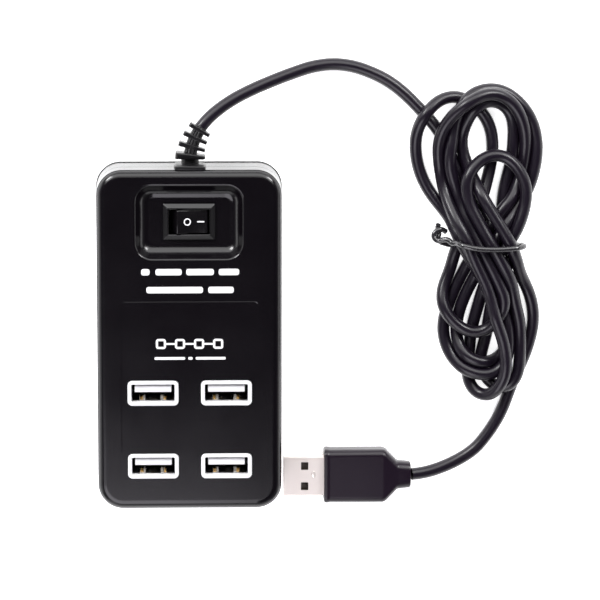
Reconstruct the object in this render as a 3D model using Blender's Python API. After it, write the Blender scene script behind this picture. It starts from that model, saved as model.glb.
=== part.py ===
"""A four-port desk hub with a rocker switch, lying on its back with its ports facing up.

Units are metres and +Z is up. The origin is at the middle of the footprint, on the
resting surface. The cord leaves the +Y end and its plug lies beside the +X side.
"""

import math

import bmesh
import bpy
from mathutils import Matrix, Vector

MM = 0.001
GAP = 0.3 * MM

# Case: two drafted shells that meet at a parting line.
BASE_WIDTH = 55.4 * MM
BASE_LENGTH = 102.0 * MM
FACE_WIDTH = 54.0 * MM
FACE_LENGTH = 100.6 * MM
FACE_Z = 22.0 * MM
BASE_Z = 0.6 * MM
SEAM_Z = 14.0 * MM
CORNER_RADIUS = 7.4 * MM
WALL = 2.0 * MM
FACE_FILLET = 1.6 * MM

# Recess around the switch.
DISH_CENTRE = Vector((0.0, 35.1 * MM, 0.0))
DISH_RIM = (32.6 * MM, 22.6 * MM)
DISH_FLOOR = (26.6 * MM, 15.6 * MM)
DISH_DEPTH = 3.2 * MM
DISH_FLOOR_Z = FACE_Z - DISH_DEPTH

# Sockets.
PORT_X = 10.8 * MM
PORT_ROWS = (-15.5 * MM, -37.4 * MM)
FRAME_SIZE = (15.2 * MM, 7.5 * MM)
FRAME_OPENING = (12.6 * MM, 5.2 * MM)
FRAME_TOP = FACE_Z + 0.3 * MM
FRAME_DEPTH = 2.8 * MM
SHELL_INSIDE = (12.5 * MM, 5.12 * MM)
SHELL_WALL = 0.3 * MM
TONGUE_SIZE = (11.1 * MM, 1.84 * MM)
TONGUE_OFFSET = 1.15 * MM
TONGUE_RECESS = 1.0 * MM

# Circuit board, which carries the sockets.
BOARD_TOP = 7.6 * MM
BOARD_THICKNESS = 1.6 * MM
BOARD_HALF_WIDTH = 18.4 * MM
BOARD_ENDS = (-46.5 * MM, 8.0 * MM)
BOARD_SUPPORTS = ((0.0, 4.5 * MM), (0.0, -43.5 * MM), (-15.5 * MM, -5.0 * MM), (15.5 * MM, -5.0 * MM))

# Screws and feet.
POST_X = 21.3 * MM
POST_Y = 44.3 * MM
POST_RADIUS = 2.5 * MM
POST_JOIN_Z = 10.0 * MM
SCREW_RADIUS = 1.1 * MM
SCREW_HEAD_RADIUS = 2.1 * MM
FOOT_X = 19.5 * MM
FOOT_Y = 33.0 * MM
FOOT_RADIUS = 4.0 * MM

# Rocker switch. The rocker rests with its +X side pressed.
BEZEL_SIZE = (15.3 * MM, 10.6 * MM)
SWITCH_OPENING = (12.0 * MM, 7.4 * MM)
SWITCH_BODY = (13.0 * MM, 8.6 * MM)
BEZEL_BOTTOM = DISH_FLOOR_Z + GAP
BEZEL_TOP = BEZEL_BOTTOM + 1.6 * MM
SWITCH_BOTTOM = 8.0 * MM
SWITCH_FLOOR_TOP = 9.0 * MM
ROCKER_PIVOT = Vector((0.0, DISH_CENTRE.y, 15.2 * MM))
ROCKER_REST = math.radians(10.0)
ROCKER_HALF_WIDTH = 3.4 * MM
TRUNNION_RADIUS = 0.8 * MM
SEESAW_PIVOT = Vector((0.0, DISH_CENTRE.y, 10.2 * MM))
SEESAW_REST = math.radians(-8.0)
SEESAW_HALF = 4.2 * MM

# Cord, its strain relief and plug.
CORD_RADIUS = 1.85 * MM
RELIEF_X = 0.3 * MM
RELIEF_START = 45.6 * MM
RELIEF_Z = 10.0 * MM
RELIEF_SPINE = (3.7 * MM, 4.2 * MM)
RELIEF_RIBS = ((10.6, 8.1, 6.4), (13.4, 7.5, 6.2), (16.1, 6.8, 5.8))
RELIEF_END = 17.2 * MM
# Distance along the strain relief in millimetres, and its heading there in degrees.
RELIEF_BEND = ((0.0, 0.0), (7.2, 1.0), (9.2, 11.0), (10.6, 16.5), (13.4, 25.0), (16.1, 31.0), (17.2, 34.0))
PLUG_TIP = 28.2 * MM
PLUG_Y = -44.0 * MM
PLUG_Z = 4.05 * MM
PLUG_SHELL = (12.0 * MM, 4.5 * MM)
PLUG_SHELL_END = 40.5 * MM
GRIP_SIZE = (16.0 * MM, 8.0 * MM)
GRIP_END = 58.7 * MM
NECK_START = 62.8 * MM
NECK_END = 66.6 * MM

# The free cord's routes, by hand: x, y, height of the centre line.
LEAD_ROUTE = (
    (4.05, 62.45, 9.5), (5.6, 64.2, 9.1), (8.1, 66.4, 8.4), (11.2, 68.6, 7.5),
    (15.0, 70.8, 6.4), (20.0, 73.1, 5.0), (25.5, 75.3, 3.7), (31.0, 77.3, 2.6),
    (36.5, 79.0, 2.0), (42.5, 79.8, 1.9), (48.5, 79.2, 1.9), (54.0, 77.4, 1.9),
    (59.2, 74.8, 1.9), (64.0, 71.2, 1.9),
)
TAIL_ROUTE = (
    (66.9, -44.0, 4.0), (69.6, -43.8, 3.5), (73.0, -43.2, 2.6), (77.3, -41.8, 2.0),
    (81.9, -39.6, 1.9), (86.2, -36.6, 1.9), (89.6, -32.6, 1.9), (92.6, -28.0, 1.9),
    (94.7, -23.7, 1.9),
)

# Outline of the bundled loops, by hand: two lobes and the waist that the tie pulls in.
BUNDLE_OUTLINE = (
    (86.0, -21.5), (77.5, -17.0), (72.3, -6.0), (71.6, 10.0), (75.2, 26.0), (68.5, 41.0),
    (65.4, 56.0), (70.5, 69.0), (80.5, 74.6), (91.0, 75.6), (101.0, 71.0), (105.6, 58.0),
    (104.6, 42.0), (100.6, 26.0), (105.2, 8.0), (103.0, -9.0), (95.8, -19.3),
)
BUNDLE_HEIGHT = 13.0 * MM
TIE_Y = 26.0 * MM
TIE_RADIUS = 0.8 * MM
WAIST = ((76.0 * MM, 99.8 * MM), (2.2 * MM, 11.4 * MM))


def clear_scene():
    for obj in list(bpy.data.objects):
        bpy.data.objects.remove(obj, do_unlink=True)


def material(name, colour, roughness, metallic=0.0):
    made = bpy.data.materials.get(name) or bpy.data.materials.new(name)
    made.use_nodes = True
    shader = made.node_tree.nodes["Principled BSDF"]
    shader.inputs["Base Color"].default_value = (*colour, 1.0)
    shader.inputs["Roughness"].default_value = roughness
    shader.inputs["Metallic"].default_value = metallic
    return made


def black_plastic():
    return material("black_plastic", (0.012, 0.012, 0.014), 0.25)


def white_plastic():
    return material("white_plastic", (0.88, 0.88, 0.87), 0.35)


def tin_plate():
    return material("tin_plate", (0.75, 0.75, 0.76), 0.25, 1.0)


def brass():
    return material("brass", (0.75, 0.58, 0.3), 0.3, 1.0)


def cord_jacket():
    return material("cord_jacket", (0.014, 0.014, 0.016), 0.3)


def place(bm, name, surface, sharp_degrees=35.0):
    """Turn a bmesh into a visible object with one material."""
    bmesh.ops.recalc_face_normals(bm, faces=bm.faces)
    mesh = bpy.data.meshes.new(name)
    bm.to_mesh(mesh)
    bm.free()
    mesh.shade_smooth()
    mesh.set_sharp_from_angle(angle=math.radians(sharp_degrees))
    mesh.materials.append(surface)
    obj = bpy.data.objects.new(name, mesh)
    bpy.context.scene.collection.objects.link(obj)
    return obj


def combine(target, tool, operation):
    tool.hide_render = True
    tool.display_type = "WIRE"
    step = target.modifiers.new(f"{operation.lower()}_{tool.name}", "BOOLEAN")
    step.operation = operation
    step.solver = "EXACT"
    step.object = tool


def rounded_outline(width, length, radius, steps=5, centre=(0.0, 0.0)):
    """Corners of a rounded rectangle, anticlockwise from the +X side."""
    points = []
    for corner, (sign_x, sign_y) in enumerate(((1, 1), (-1, 1), (-1, -1), (1, -1))):
        middle_x = centre[0] + sign_x * (width / 2 - radius)
        middle_y = centre[1] + sign_y * (length / 2 - radius)
        for step in range(steps + 1):
            angle = math.radians(90.0 * corner + 90.0 * step / steps)
            points.append((middle_x + radius * math.cos(angle), middle_y + radius * math.sin(angle)))
    return points


def loft(name, rings, surface, sharp_degrees=35.0):
    """Closed solid through rings of equal point counts, capped at both ends."""
    bm = bmesh.new()
    loops = [[bm.verts.new(point) for point in ring] for ring in rings]
    for below, above in zip(loops, loops[1:]):
        for index, vertex in enumerate(below):
            following = (index + 1) % len(below)
            bm.faces.new((vertex, below[following], above[following], above[index]))
    bm.faces.new(list(reversed(loops[0])))
    bm.faces.new(loops[-1])
    return place(bm, name, surface, sharp_degrees)


def stack(name, levels, surface, centre=(0.0, 0.0), steps=5, sharp_degrees=35.0):
    """Loft of level rounded rectangles: each level is height, width, length, corner radius."""
    rings = []
    for height, width, length, radius in levels:
        outline = rounded_outline(width, length, radius, steps, centre)
        rings.append([(x, y, height) for x, y in outline])
    return loft(name, rings, surface, sharp_degrees)


def box(name, low, high, surface):
    bm = bmesh.new()
    bmesh.ops.create_cube(bm, size=1.0)
    size = Vector(high) - Vector(low)
    middle = (Vector(high) + Vector(low)) / 2
    bmesh.ops.transform(bm, matrix=Matrix.Translation(middle) @ Matrix.Diagonal((*size, 1.0)), verts=bm.verts)
    return place(bm, name, surface)


def turned(name, centre, levels, surface, sides=20):
    """Closed solid of revolution about a vertical axis: each level is height, radius."""
    rings = []
    for height, radius in levels:
        ring = []
        for side in range(sides):
            angle = math.tau * side / sides
            ring.append((centre[0] + radius * math.cos(angle), centre[1] + radius * math.sin(angle), height))
        rings.append(ring)
    return loft(name, rings, surface)


def profile_prism(name, profile, half_depth, surface):
    """Extrude an XZ outline to both sides of Y = 0."""
    rings = [[(x, side * half_depth, z) for x, z in profile] for side in (-1, 1)]
    return loft(name, rings, surface)


def spline_points(route, per_span, closed=False):
    """Catmull-Rom samples through hand-placed points."""
    points = [Vector(point) for point in route]
    count = len(points)
    spans = count if closed else count - 1
    samples = []
    for span in range(spans):
        if closed:
            before, start, end, after = (points[(span + shift) % count] for shift in (-1, 0, 1, 2))
        else:
            start, end = points[span], points[span + 1]
            before = points[span - 1] if span > 0 else start * 2 - end
            after = points[span + 2] if span + 2 < count else end * 2 - start
        for step in range(per_span):
            t = step / per_span
            samples.append(
                0.5 * (
                    2 * start
                    + (end - before) * t
                    + (2 * before - 5 * start + 4 * end - after) * t ** 2
                    + (3 * start - before - 3 * end + after) * t ** 3
                )
            )
    if not closed:
        samples.append(points[-1])
    return samples


def tube(name, points, radius, surface, closed=False, bevel_resolution=2):
    curve = bpy.data.curves.new(name, "CURVE")
    curve.dimensions = "3D"
    curve.bevel_depth = radius
    curve.bevel_resolution = bevel_resolution
    curve.use_fill_caps = not closed
    spline = curve.splines.new("POLY")
    spline.points.add(len(points) - 1)
    for slot, point in zip(spline.points, points):
        slot.co = (*point, 1.0)
    spline.use_cyclic_u = closed
    curve.materials.append(surface)
    obj = bpy.data.objects.new(name, curve)
    bpy.context.scene.collection.objects.link(obj)
    return obj


def case_size(height):
    """Outside width and length of the drafted case at a height."""
    share = (height - BASE_Z) / (FACE_Z - FACE_FILLET - BASE_Z)
    width = BASE_WIDTH + (FACE_WIDTH - BASE_WIDTH) * share
    length = BASE_LENGTH + (FACE_LENGTH - BASE_LENGTH) * share
    return width, length


def case_level(height, inset=0.0):
    width, length = case_size(height)
    return (height, width - 2 * inset, length - 2 * inset, CORNER_RADIUS - inset)


def post_centres():
    return [(sign_x * POST_X, sign_y * POST_Y) for sign_y in (1, -1) for sign_x in (-1, 1)]


def port_centres():
    return [(side * PORT_X, row) for row in PORT_ROWS for side in (-1, 1)]


def relief_notch(name, low_z, high_z):
    """Cutter for the hole that holds the strain relief's neck in the +Y wall."""
    wall_y = BASE_LENGTH / 2
    low = (RELIEF_X - 2.9 * MM, wall_y - 5.0 * MM, low_z)
    high = (RELIEF_X + 2.9 * MM, wall_y + 2.0 * MM, high_z)
    return box(name, low, high, black_plastic())


def make_front_cover():
    surface = black_plastic()
    seam = SEAM_Z + GAP / 2
    levels = [case_level(seam), case_level(FACE_Z - FACE_FILLET)]
    for degrees in (30.0, 60.0, 90.0):
        turn = math.radians(degrees)
        inset = FACE_FILLET * (1.0 - math.cos(turn))
        height = FACE_Z - FACE_FILLET * (1.0 - math.sin(turn))
        width, length = FACE_WIDTH - 2 * inset, FACE_LENGTH - 2 * inset
        levels.append((height, width, length, CORNER_RADIUS - inset))
    cover = stack("front_cover", levels, surface, steps=6)
    hollow = stack(
        "front_hollow",
        [case_level(seam - 1.0 * MM, WALL), case_level(FACE_Z - WALL, WALL)],
        surface,
        steps=4,
    )
    dish_block = box(
        "dish_block",
        (-18.0 * MM, DISH_CENTRE.y - 13.0 * MM, DISH_FLOOR_Z - WALL),
        (18.0 * MM, DISH_CENTRE.y + 13.0 * MM, FACE_Z),
        surface,
    )
    combine(hollow, dish_block, "DIFFERENCE")
    combine(cover, hollow, "DIFFERENCE")
    for index, (x, y) in enumerate(post_centres(), 1):
        post = turned(
            f"front_post_{index}",
            (x, y),
            [(POST_JOIN_Z + GAP, POST_RADIUS), (FACE_Z - 1.0 * MM, POST_RADIUS)],
            surface,
            12,
        )
        combine(cover, post, "UNION")
        pilot = turned(
            f"pilot_hole_{index}",
            (x, y),
            [(POST_JOIN_Z - 1.0 * MM, SCREW_RADIUS + GAP), (FACE_Z - 5.0 * MM, SCREW_RADIUS + GAP)],
            surface,
            12,
        )
        combine(cover, pilot, "DIFFERENCE")
    dish = stack(
        "dish_cutter",
        [
            (DISH_FLOOR_Z, DISH_FLOOR[0], DISH_FLOOR[1], 2.6 * MM),
            (DISH_FLOOR_Z + 0.5 * MM, DISH_FLOOR[0] + 1.8 * MM, DISH_FLOOR[1] + 1.8 * MM, 3.2 * MM),
            (FACE_Z - 0.6 * MM, DISH_RIM[0] - 1.6 * MM, DISH_RIM[1] - 1.6 * MM, 4.4 * MM),
            (FACE_Z, DISH_RIM[0], DISH_RIM[1], 5.2 * MM),
            (FACE_Z + 1.0 * MM, DISH_RIM[0], DISH_RIM[1], 5.2 * MM),
        ],
        surface,
        (DISH_CENTRE.x, DISH_CENTRE.y),
    )
    combine(cover, dish, "DIFFERENCE")
    half_x = SWITCH_BODY[0] / 2 + GAP
    half_y = SWITCH_BODY[1] / 2 + GAP
    switch_hole = box(
        "switch_hole",
        (-half_x, DISH_CENTRE.y - half_y, DISH_FLOOR_Z - 4.0 * MM),
        (half_x, DISH_CENTRE.y + half_y, FACE_Z),
        surface,
    )
    combine(cover, switch_hole, "DIFFERENCE")
    for index, centre in enumerate(port_centres(), 1):
        width, length = FRAME_SIZE[0] + 2 * GAP, FRAME_SIZE[1] + 2 * GAP
        port_hole = stack(
            f"port_hole_{index}",
            [(FACE_Z - 4.0 * MM, width, length, 1.7 * MM), (FACE_Z + 1.0 * MM, width, length, 1.7 * MM)],
            surface,
            centre,
            3,
        )
        combine(cover, port_hole, "DIFFERENCE")


def make_back_cover():
    surface = black_plastic()
    seam = SEAM_Z - GAP / 2
    cover = stack("back_cover", [case_level(BASE_Z), case_level(seam)], surface, steps=6)
    floor_top = BASE_Z + WALL
    hollow = stack("back_hollow", [case_level(floor_top, WALL), case_level(seam + 1.0 * MM, WALL)], surface, steps=4)
    combine(cover, hollow, "DIFFERENCE")
    for index, (x, y) in enumerate(post_centres(), 1):
        post = turned(
            f"back_post_{index}",
            (x, y),
            [(BASE_Z + 1.0 * MM, POST_RADIUS + 0.4 * MM), (POST_JOIN_Z, POST_RADIUS + 0.4 * MM)],
            surface,
            12,
        )
        combine(cover, post, "UNION")
        bore = turned(
            f"screw_bore_{index}",
            (x, y),
            [
                (BASE_Z - 1.0 * MM, SCREW_HEAD_RADIUS + GAP),
                (BASE_Z + 4.0 * MM, SCREW_HEAD_RADIUS + GAP),
                (BASE_Z + 4.01 * MM, SCREW_RADIUS + GAP),
                (POST_JOIN_Z + 1.0 * MM, SCREW_RADIUS + GAP),
            ],
            surface,
            12,
        )
        combine(cover, bore, "DIFFERENCE")
    for index, centre in enumerate(BOARD_SUPPORTS, 1):
        support = turned(
            f"board_support_{index}",
            centre,
            [(BASE_Z + 1.0 * MM, 1.8 * MM), (BOARD_TOP - BOARD_THICKNESS - GAP, 1.8 * MM)],
            surface,
            10,
        )
        combine(cover, support, "UNION")
    for index, (x, y) in enumerate(foot_centres(), 1):
        pocket = turned(
            f"foot_pocket_{index}",
            (x, y),
            [(BASE_Z - 1.0 * MM, FOOT_RADIUS + GAP), (BASE_Z + 0.6 * MM, FOOT_RADIUS + GAP)],
            surface,
            20,
        )
        combine(cover, pocket, "DIFFERENCE")
    combine(cover, relief_notch("relief_notch", RELIEF_Z - 2.9 * MM, SEAM_Z + 2.0 * MM), "DIFFERENCE")


def foot_centres():
    return [(sign_x * FOOT_X, sign_y * FOOT_Y) for sign_y in (1, -1) for sign_x in (-1, 1)]


def make_feet():
    rubber = material("foot_rubber", (0.02, 0.02, 0.02), 0.8)
    for index, centre in enumerate(foot_centres(), 1):
        turned(
            f"foot_{index}",
            centre,
            [(0.0, FOOT_RADIUS - 0.3 * MM), (0.2 * MM, FOOT_RADIUS), (BASE_Z + 0.3 * MM, FOOT_RADIUS)],
            rubber,
        )


def make_screws():
    steel = material("screw_steel", (0.55, 0.55, 0.56), 0.35, 1.0)
    head_z = BASE_Z + 2.2 * MM
    for index, centre in enumerate(post_centres(), 1):
        turned(
            f"cover_screw_{index}",
            centre,
            [
                (head_z, SCREW_HEAD_RADIUS - 0.2 * MM),
                (head_z + 0.3 * MM, SCREW_HEAD_RADIUS),
                (head_z + 1.4 * MM, SCREW_HEAD_RADIUS),
                (head_z + 1.41 * MM, SCREW_RADIUS),
                (head_z + 12.0 * MM, SCREW_RADIUS),
                (head_z + 12.8 * MM, 0.3 * MM),
            ],
            steel,
            12,
        )


def make_port_frame(number, centre):
    surface = white_plastic()
    low = FRAME_TOP - FRAME_DEPTH
    frame = stack(
        f"port_frame_{number}",
        [
            (low, *FRAME_SIZE, 1.4 * MM),
            (FRAME_TOP - 0.25 * MM, *FRAME_SIZE, 1.4 * MM),
            (FRAME_TOP, FRAME_SIZE[0] - 0.5 * MM, FRAME_SIZE[1] - 0.5 * MM, 1.15 * MM),
        ],
        surface,
        centre,
        4,
    )
    opening = stack(
        f"port_frame_opening_{number}",
        [(low - 1.0 * MM, *FRAME_OPENING, 0.4 * MM), (FRAME_TOP + 1.0 * MM, *FRAME_OPENING, 0.4 * MM)],
        surface,
        centre,
        2,
    )
    combine(frame, opening, "DIFFERENCE")


def make_port_shell(number, centre):
    surface = tin_plate()
    low = BOARD_TOP + GAP
    high = FRAME_TOP - FRAME_DEPTH - GAP
    outside = (SHELL_INSIDE[0] + 2 * SHELL_WALL, SHELL_INSIDE[1] + 2 * SHELL_WALL)
    shell = stack(
        f"port_shell_{number}",
        [(low, *outside, 0.6 * MM), (high, *outside, 0.6 * MM)],
        surface,
        centre,
        2,
    )
    inside = stack(
        f"port_shell_inside_{number}",
        [(low - 1.0 * MM, *SHELL_INSIDE, 0.3 * MM), (high + 1.0 * MM, *SHELL_INSIDE, 0.3 * MM)],
        surface,
        centre,
        2,
    )
    combine(shell, inside, "DIFFERENCE")
    for side in (-1, 1):
        slot_x = centre[0] + side * 3.0 * MM
        for face in (-1, 1):
            slot_y = centre[1] + face * SHELL_INSIDE[1] / 2
            slot = box(
                f"port_shell_slot_{number}_{side}_{face}",
                (slot_x - 1.3 * MM, slot_y - 1.0 * MM, 12.0 * MM),
                (slot_x + 1.3 * MM, slot_y + 1.0 * MM, 15.0 * MM),
                surface,
            )
            combine(shell, slot, "DIFFERENCE")


def make_port_tongue(number, centre):
    surface = white_plastic()
    low = BOARD_TOP + GAP
    base = box(
        f"port_tongue_{number}",
        (centre[0] - SHELL_INSIDE[0] / 2 + GAP, centre[1] - SHELL_INSIDE[1] / 2 + GAP, low),
        (centre[0] + SHELL_INSIDE[0] / 2 - GAP, centre[1] + SHELL_INSIDE[1] / 2 - GAP, low + 3.0 * MM),
        surface,
    )
    middle_y = centre[1] + TONGUE_OFFSET
    blade = box(
        f"port_blade_{number}",
        (centre[0] - TONGUE_SIZE[0] / 2, middle_y - TONGUE_SIZE[1] / 2, low + 1.0 * MM),
        (centre[0] + TONGUE_SIZE[0] / 2, middle_y + TONGUE_SIZE[1] / 2, FRAME_TOP - TONGUE_RECESS),
        surface,
    )
    combine(base, blade, "UNION")


def make_switch_housing():
    surface = black_plastic()
    centre = (DISH_CENTRE.x, DISH_CENTRE.y)
    housing = stack(
        "switch_housing",
        [
            (SWITCH_BOTTOM, *SWITCH_BODY, 0.4 * MM),
            (BEZEL_BOTTOM, *SWITCH_BODY, 0.4 * MM),
            (BEZEL_BOTTOM + 0.001 * MM, *BEZEL_SIZE, 0.3 * MM),
            (BEZEL_BOTTOM + 0.5 * MM, *BEZEL_SIZE, 0.3 * MM),
            (BEZEL_TOP, SWITCH_OPENING[0] + 0.5 * MM, SWITCH_OPENING[1] + 0.5 * MM, 0.2 * MM),
        ],
        surface,
        centre,
        1,
    )
    inside = box(
        "switch_inside",
        (-SWITCH_OPENING[0] / 2, centre[1] - SWITCH_OPENING[1] / 2, SWITCH_FLOOR_TOP),
        (SWITCH_OPENING[0] / 2, centre[1] + SWITCH_OPENING[1] / 2, BEZEL_TOP + 1.0 * MM),
        surface,
    )
    combine(housing, inside, "DIFFERENCE")
    for index, x in enumerate(terminal_places(), 1):
        slot = box(
            f"terminal_slot_{index}",
            (x - 0.7 * MM, centre[1] - 2.3 * MM, SWITCH_BOTTOM - 1.0 * MM),
            (x + 0.7 * MM, centre[1] + 2.3 * MM, SWITCH_FLOOR_TOP + 1.0 * MM),
            surface,
        )
        combine(housing, slot, "DIFFERENCE")
    combine(housing, trunnion_rod("trunnion_bore", TRUNNION_RADIUS + GAP, SWITCH_BODY[1]), "DIFFERENCE")


def trunnion_rod(name, radius, length):
    """Rod along Y through the rocker's pivot."""
    bm = bmesh.new()
    turn = Matrix.Rotation(math.radians(90.0), 4, "X")
    bmesh.ops.create_cone(
        bm, cap_ends=True, segments=16, radius1=radius, radius2=radius, depth=length,
        matrix=Matrix.Translation(ROCKER_PIVOT) @ turn,
    )
    return place(bm, name, black_plastic())


def terminal_places():
    return (0.0, -SEESAW_HALF)


def rocker_holder():
    holder = bpy.data.objects.new("rocker_axis", None)
    holder.location = ROCKER_PIVOT
    holder.rotation_euler = (0.0, ROCKER_REST, 0.0)
    bpy.context.scene.collection.objects.link(holder)
    return holder


def make_rocker(holder):
    """Rocker, plunger and spring, drawn about the pivot with the switch at mid travel."""
    surface = black_plastic()
    half = [(5.3, -0.8), (5.3, 2.2), (4.6, 5.35), (4.35, 5.5)]
    profile = [(-x * MM, z * MM) for x, z in reversed(half)]
    profile = [(-3.2 * MM, -1.6 * MM)] + list(reversed(profile)) + [(0.0, 5.15 * MM)]
    profile += [(x * MM, z * MM) for x, z in reversed(half)] + [(3.2 * MM, -1.6 * MM)]
    rocker = profile_prism("rocker", profile, ROCKER_HALF_WIDTH, surface)
    stem = turned("rocker_stem", (0.0, 0.0), [(-2.9 * MM, 1.9 * MM), (0.0, 1.9 * MM)], surface, 16)
    combine(rocker, stem, "UNION")
    pins = trunnion_rod("rocker_pins", TRUNNION_RADIUS, SWITCH_BODY[1] - 0.3 * MM)
    pins.data.transform(Matrix.Translation(-ROCKER_PIVOT))
    combine(rocker, pins, "UNION")
    bore = turned("plunger_bore", (0.0, 0.0), [(-4.0 * MM, 1.25 * MM), (1.9 * MM, 1.25 * MM)], surface, 16)
    combine(rocker, bore, "DIFFERENCE")
    plunger = turned(
        "rocker_plunger",
        (0.0, 0.0),
        [(-4.4 * MM, 0.35 * MM), (-4.15 * MM, 0.75 * MM), (-3.8 * MM, 0.95 * MM), (-1.6 * MM, 0.95 * MM)],
        brass(),
        16,
    )
    turns, per_turn, low, high = 4, 12, -1.1 * MM, 1.4 * MM
    coil = []
    for step in range(turns * per_turn + 1):
        angle = math.tau * step / per_turn
        height = low + (high - low) * step / (turns * per_turn)
        coil.append((0.75 * MM * math.cos(angle), 0.75 * MM * math.sin(angle), height))
    spring = tube("rocker_spring", coil, 0.15 * MM, tin_plate(), bevel_resolution=1)
    for piece in (rocker, stem, pins, bore, plunger, spring):
        piece.parent = holder


def make_switch_contacts():
    bar_profile = [(-4.2, 0.0), (0.0, -0.2), (4.2, 0.0), (4.2, 0.4), (0.0, 0.2), (-4.2, 0.4)]
    bar = profile_prism("seesaw_contact", [(x * MM, z * MM) for x, z in bar_profile], 1.5 * MM, brass())
    bar.location = SEESAW_PIVOT
    bar.rotation_euler = (0.0, SEESAW_REST, 0.0)
    tops = (SEESAW_PIVOT.z - 0.2 * MM - GAP, SWITCH_FLOOR_TOP + 0.1 * MM)
    for number, (x, top) in enumerate(zip(terminal_places(), tops), 1):
        box(
            f"switch_terminal_{number}",
            (x - 0.4 * MM, DISH_CENTRE.y - 2.0 * MM, 3.4 * MM),
            (x + 0.4 * MM, DISH_CENTRE.y + 2.0 * MM, top),
            brass(),
        )


def make_board():
    green = material("board_green", (0.02, 0.16, 0.06), 0.45)
    box(
        "circuit_board",
        (-BOARD_HALF_WIDTH, BOARD_ENDS[0], BOARD_TOP - BOARD_THICKNESS),
        (BOARD_HALF_WIDTH, BOARD_ENDS[1], BOARD_TOP),
        green,
    )
    low = BOARD_TOP + GAP
    row_middle = sum(PORT_ROWS) / 2
    epoxy = material("chip_epoxy", (0.015, 0.015, 0.015), 0.5)
    stack(
        "hub_chip",
        [(low, 10.3 * MM, 5.3 * MM, 0.2 * MM), (low + 1.7 * MM, 10.1 * MM, 5.1 * MM, 0.2 * MM)],
        epoxy,
        (0.0, row_middle),
        1,
    )
    stack(
        "clock_crystal",
        [(low, 11.0 * MM, 4.6 * MM, 2.2 * MM), (low + 3.4 * MM, 11.0 * MM, 4.6 * MM, 2.2 * MM)],
        tin_plate(),
        (-12.2 * MM, row_middle),
        4,
    )
    sleeve = material("capacitor_sleeve", (0.03, 0.03, 0.05), 0.4)
    for number, centre in enumerate(((12.0 * MM, row_middle), (-4.0 * MM, -3.0 * MM)), 1):
        turned(
            f"capacitor_{number}",
            centre,
            [(low, 2.3 * MM), (low + 0.4 * MM, 2.5 * MM), (low + 6.6 * MM, 2.5 * MM), (low + 7.0 * MM, 2.2 * MM)],
            sleeve,
            16,
        )


def make_inner_wires():
    """Four cord conductors and two switch wires, each ending just above the board."""
    colours = (
        ("red", (0.6, 0.02, 0.02)),
        ("white", (0.8, 0.8, 0.78)),
        ("green", (0.02, 0.35, 0.08)),
        ("black", (0.02, 0.02, 0.02)),
    )
    end_height = BOARD_TOP + GAP + 0.5 * MM
    for index, (colour, tint) in enumerate(colours):
        lift = (1.5 - index) * 1.3 * MM
        start = Vector((0.0, 45.3 * MM, RELIEF_Z + lift))
        lane = 9.0 * MM + 1.6 * MM * index
        route = (
            start,
            ((6.0 + index) * MM, (42.6 + 0.5 * index) * MM, 9.6 * MM + lift),
            (lane, (36.0 + 1.5 * index) * MM, 7.5 * MM + lift / 2),
            (lane, 26.0 * MM, 5.5 * MM),
            (lane, 15.0 * MM, 6.8 * MM),
            (lane - 0.8 * MM, 5.0 * MM, end_height),
        )
        tube(
            f"conductor_{colour}",
            spline_points(route, 4),
            0.42 * MM,
            material(f"insulation_{colour}", tint, 0.45),
            bevel_resolution=1,
        )
    for number, x in enumerate(terminal_places(), 1):
        start_y = DISH_CENTRE.y - 2.0 * MM - GAP
        route = (
            (x, start_y, 4.6 * MM),
            (x - 0.5 * MM, 27.0 * MM, 4.3 * MM),
            (x - 1.5 * MM, 16.0 * MM, 6.2 * MM),
            (x - 1.5 * MM, 5.5 * MM, end_height + 0.2 * MM),
        )
        tube(
            f"switch_wire_{number}",
            spline_points(route, 4),
            0.55 * MM,
            material("insulation_red", (0.6, 0.02, 0.02), 0.45),
            bevel_resolution=1,
        )


def relief_heading(distance):
    """Heading of the strain relief's bent axis at a distance from its inner end."""
    for (before, low), (after, high) in zip(RELIEF_BEND, RELIEF_BEND[1:]):
        if distance <= after * MM:
            share = (distance / MM - before) / (after - before)
            return math.radians(low + (high - low) * share)
    return math.radians(RELIEF_BEND[-1][1])


def relief_axis(distance):
    """Point and heading of the strain relief's bent axis, measured from its inner end."""
    point = Vector((RELIEF_X, RELIEF_START, RELIEF_Z))
    steps = 48
    for step in range(steps):
        heading = relief_heading(distance * (step + 0.5) / steps)
        sink = -0.04 if heading > math.radians(1.0) else 0.0
        point += Vector((math.sin(heading), math.cos(heading), sink)) * (distance / steps)
    return point, relief_heading(distance)


def make_strain_relief():
    """Collar inside the wall, neck, plate on the wall, flange, and a spine with three cross ribs."""
    collar, neck, flange = (7.2 * MM, 6.4 * MM, 0.0), (5.2 * MM, 5.2 * MM, 0.0), (8.9 * MM, 7.8 * MM, 0.0)
    plate = (9.1 * MM, 12.4 * MM, 4.2 * MM)
    spine = (*RELIEF_SPINE, 0.0)
    stations = [
        (0.0, collar), (2.3 * MM, collar), (2.3 * MM, neck), (5.45 * MM, neck),
        (5.45 * MM, plate), (5.85 * MM, plate), (5.85 * MM, neck), (7.1 * MM, neck),
        (7.1 * MM, flange), (8.5 * MM, flange), (8.5 * MM, spine),
    ]
    for middle, width, height in RELIEF_RIBS:
        size = (width * MM, height * MM, 0.0)
        start, stop = (middle - 0.55) * MM, (middle + 0.55) * MM
        stations += [(start, spine), (start, size), (stop, size), (stop, spine)]
    stations.append((RELIEF_END, spine))
    rings = []
    for index, (distance, (width, height, lift)) in enumerate(stations):
        point, heading = relief_axis(distance + index * 0.002 * MM)
        across = Vector((math.cos(heading), -math.sin(heading), 0.0))
        outline = rounded_outline(width, height, min(width, height) * 0.42, 3)
        rings.append([point + across * x + Vector((0.0, 0.0, z + lift)) for x, z in outline])
    loft("strain_relief", rings, cord_jacket())


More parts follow.
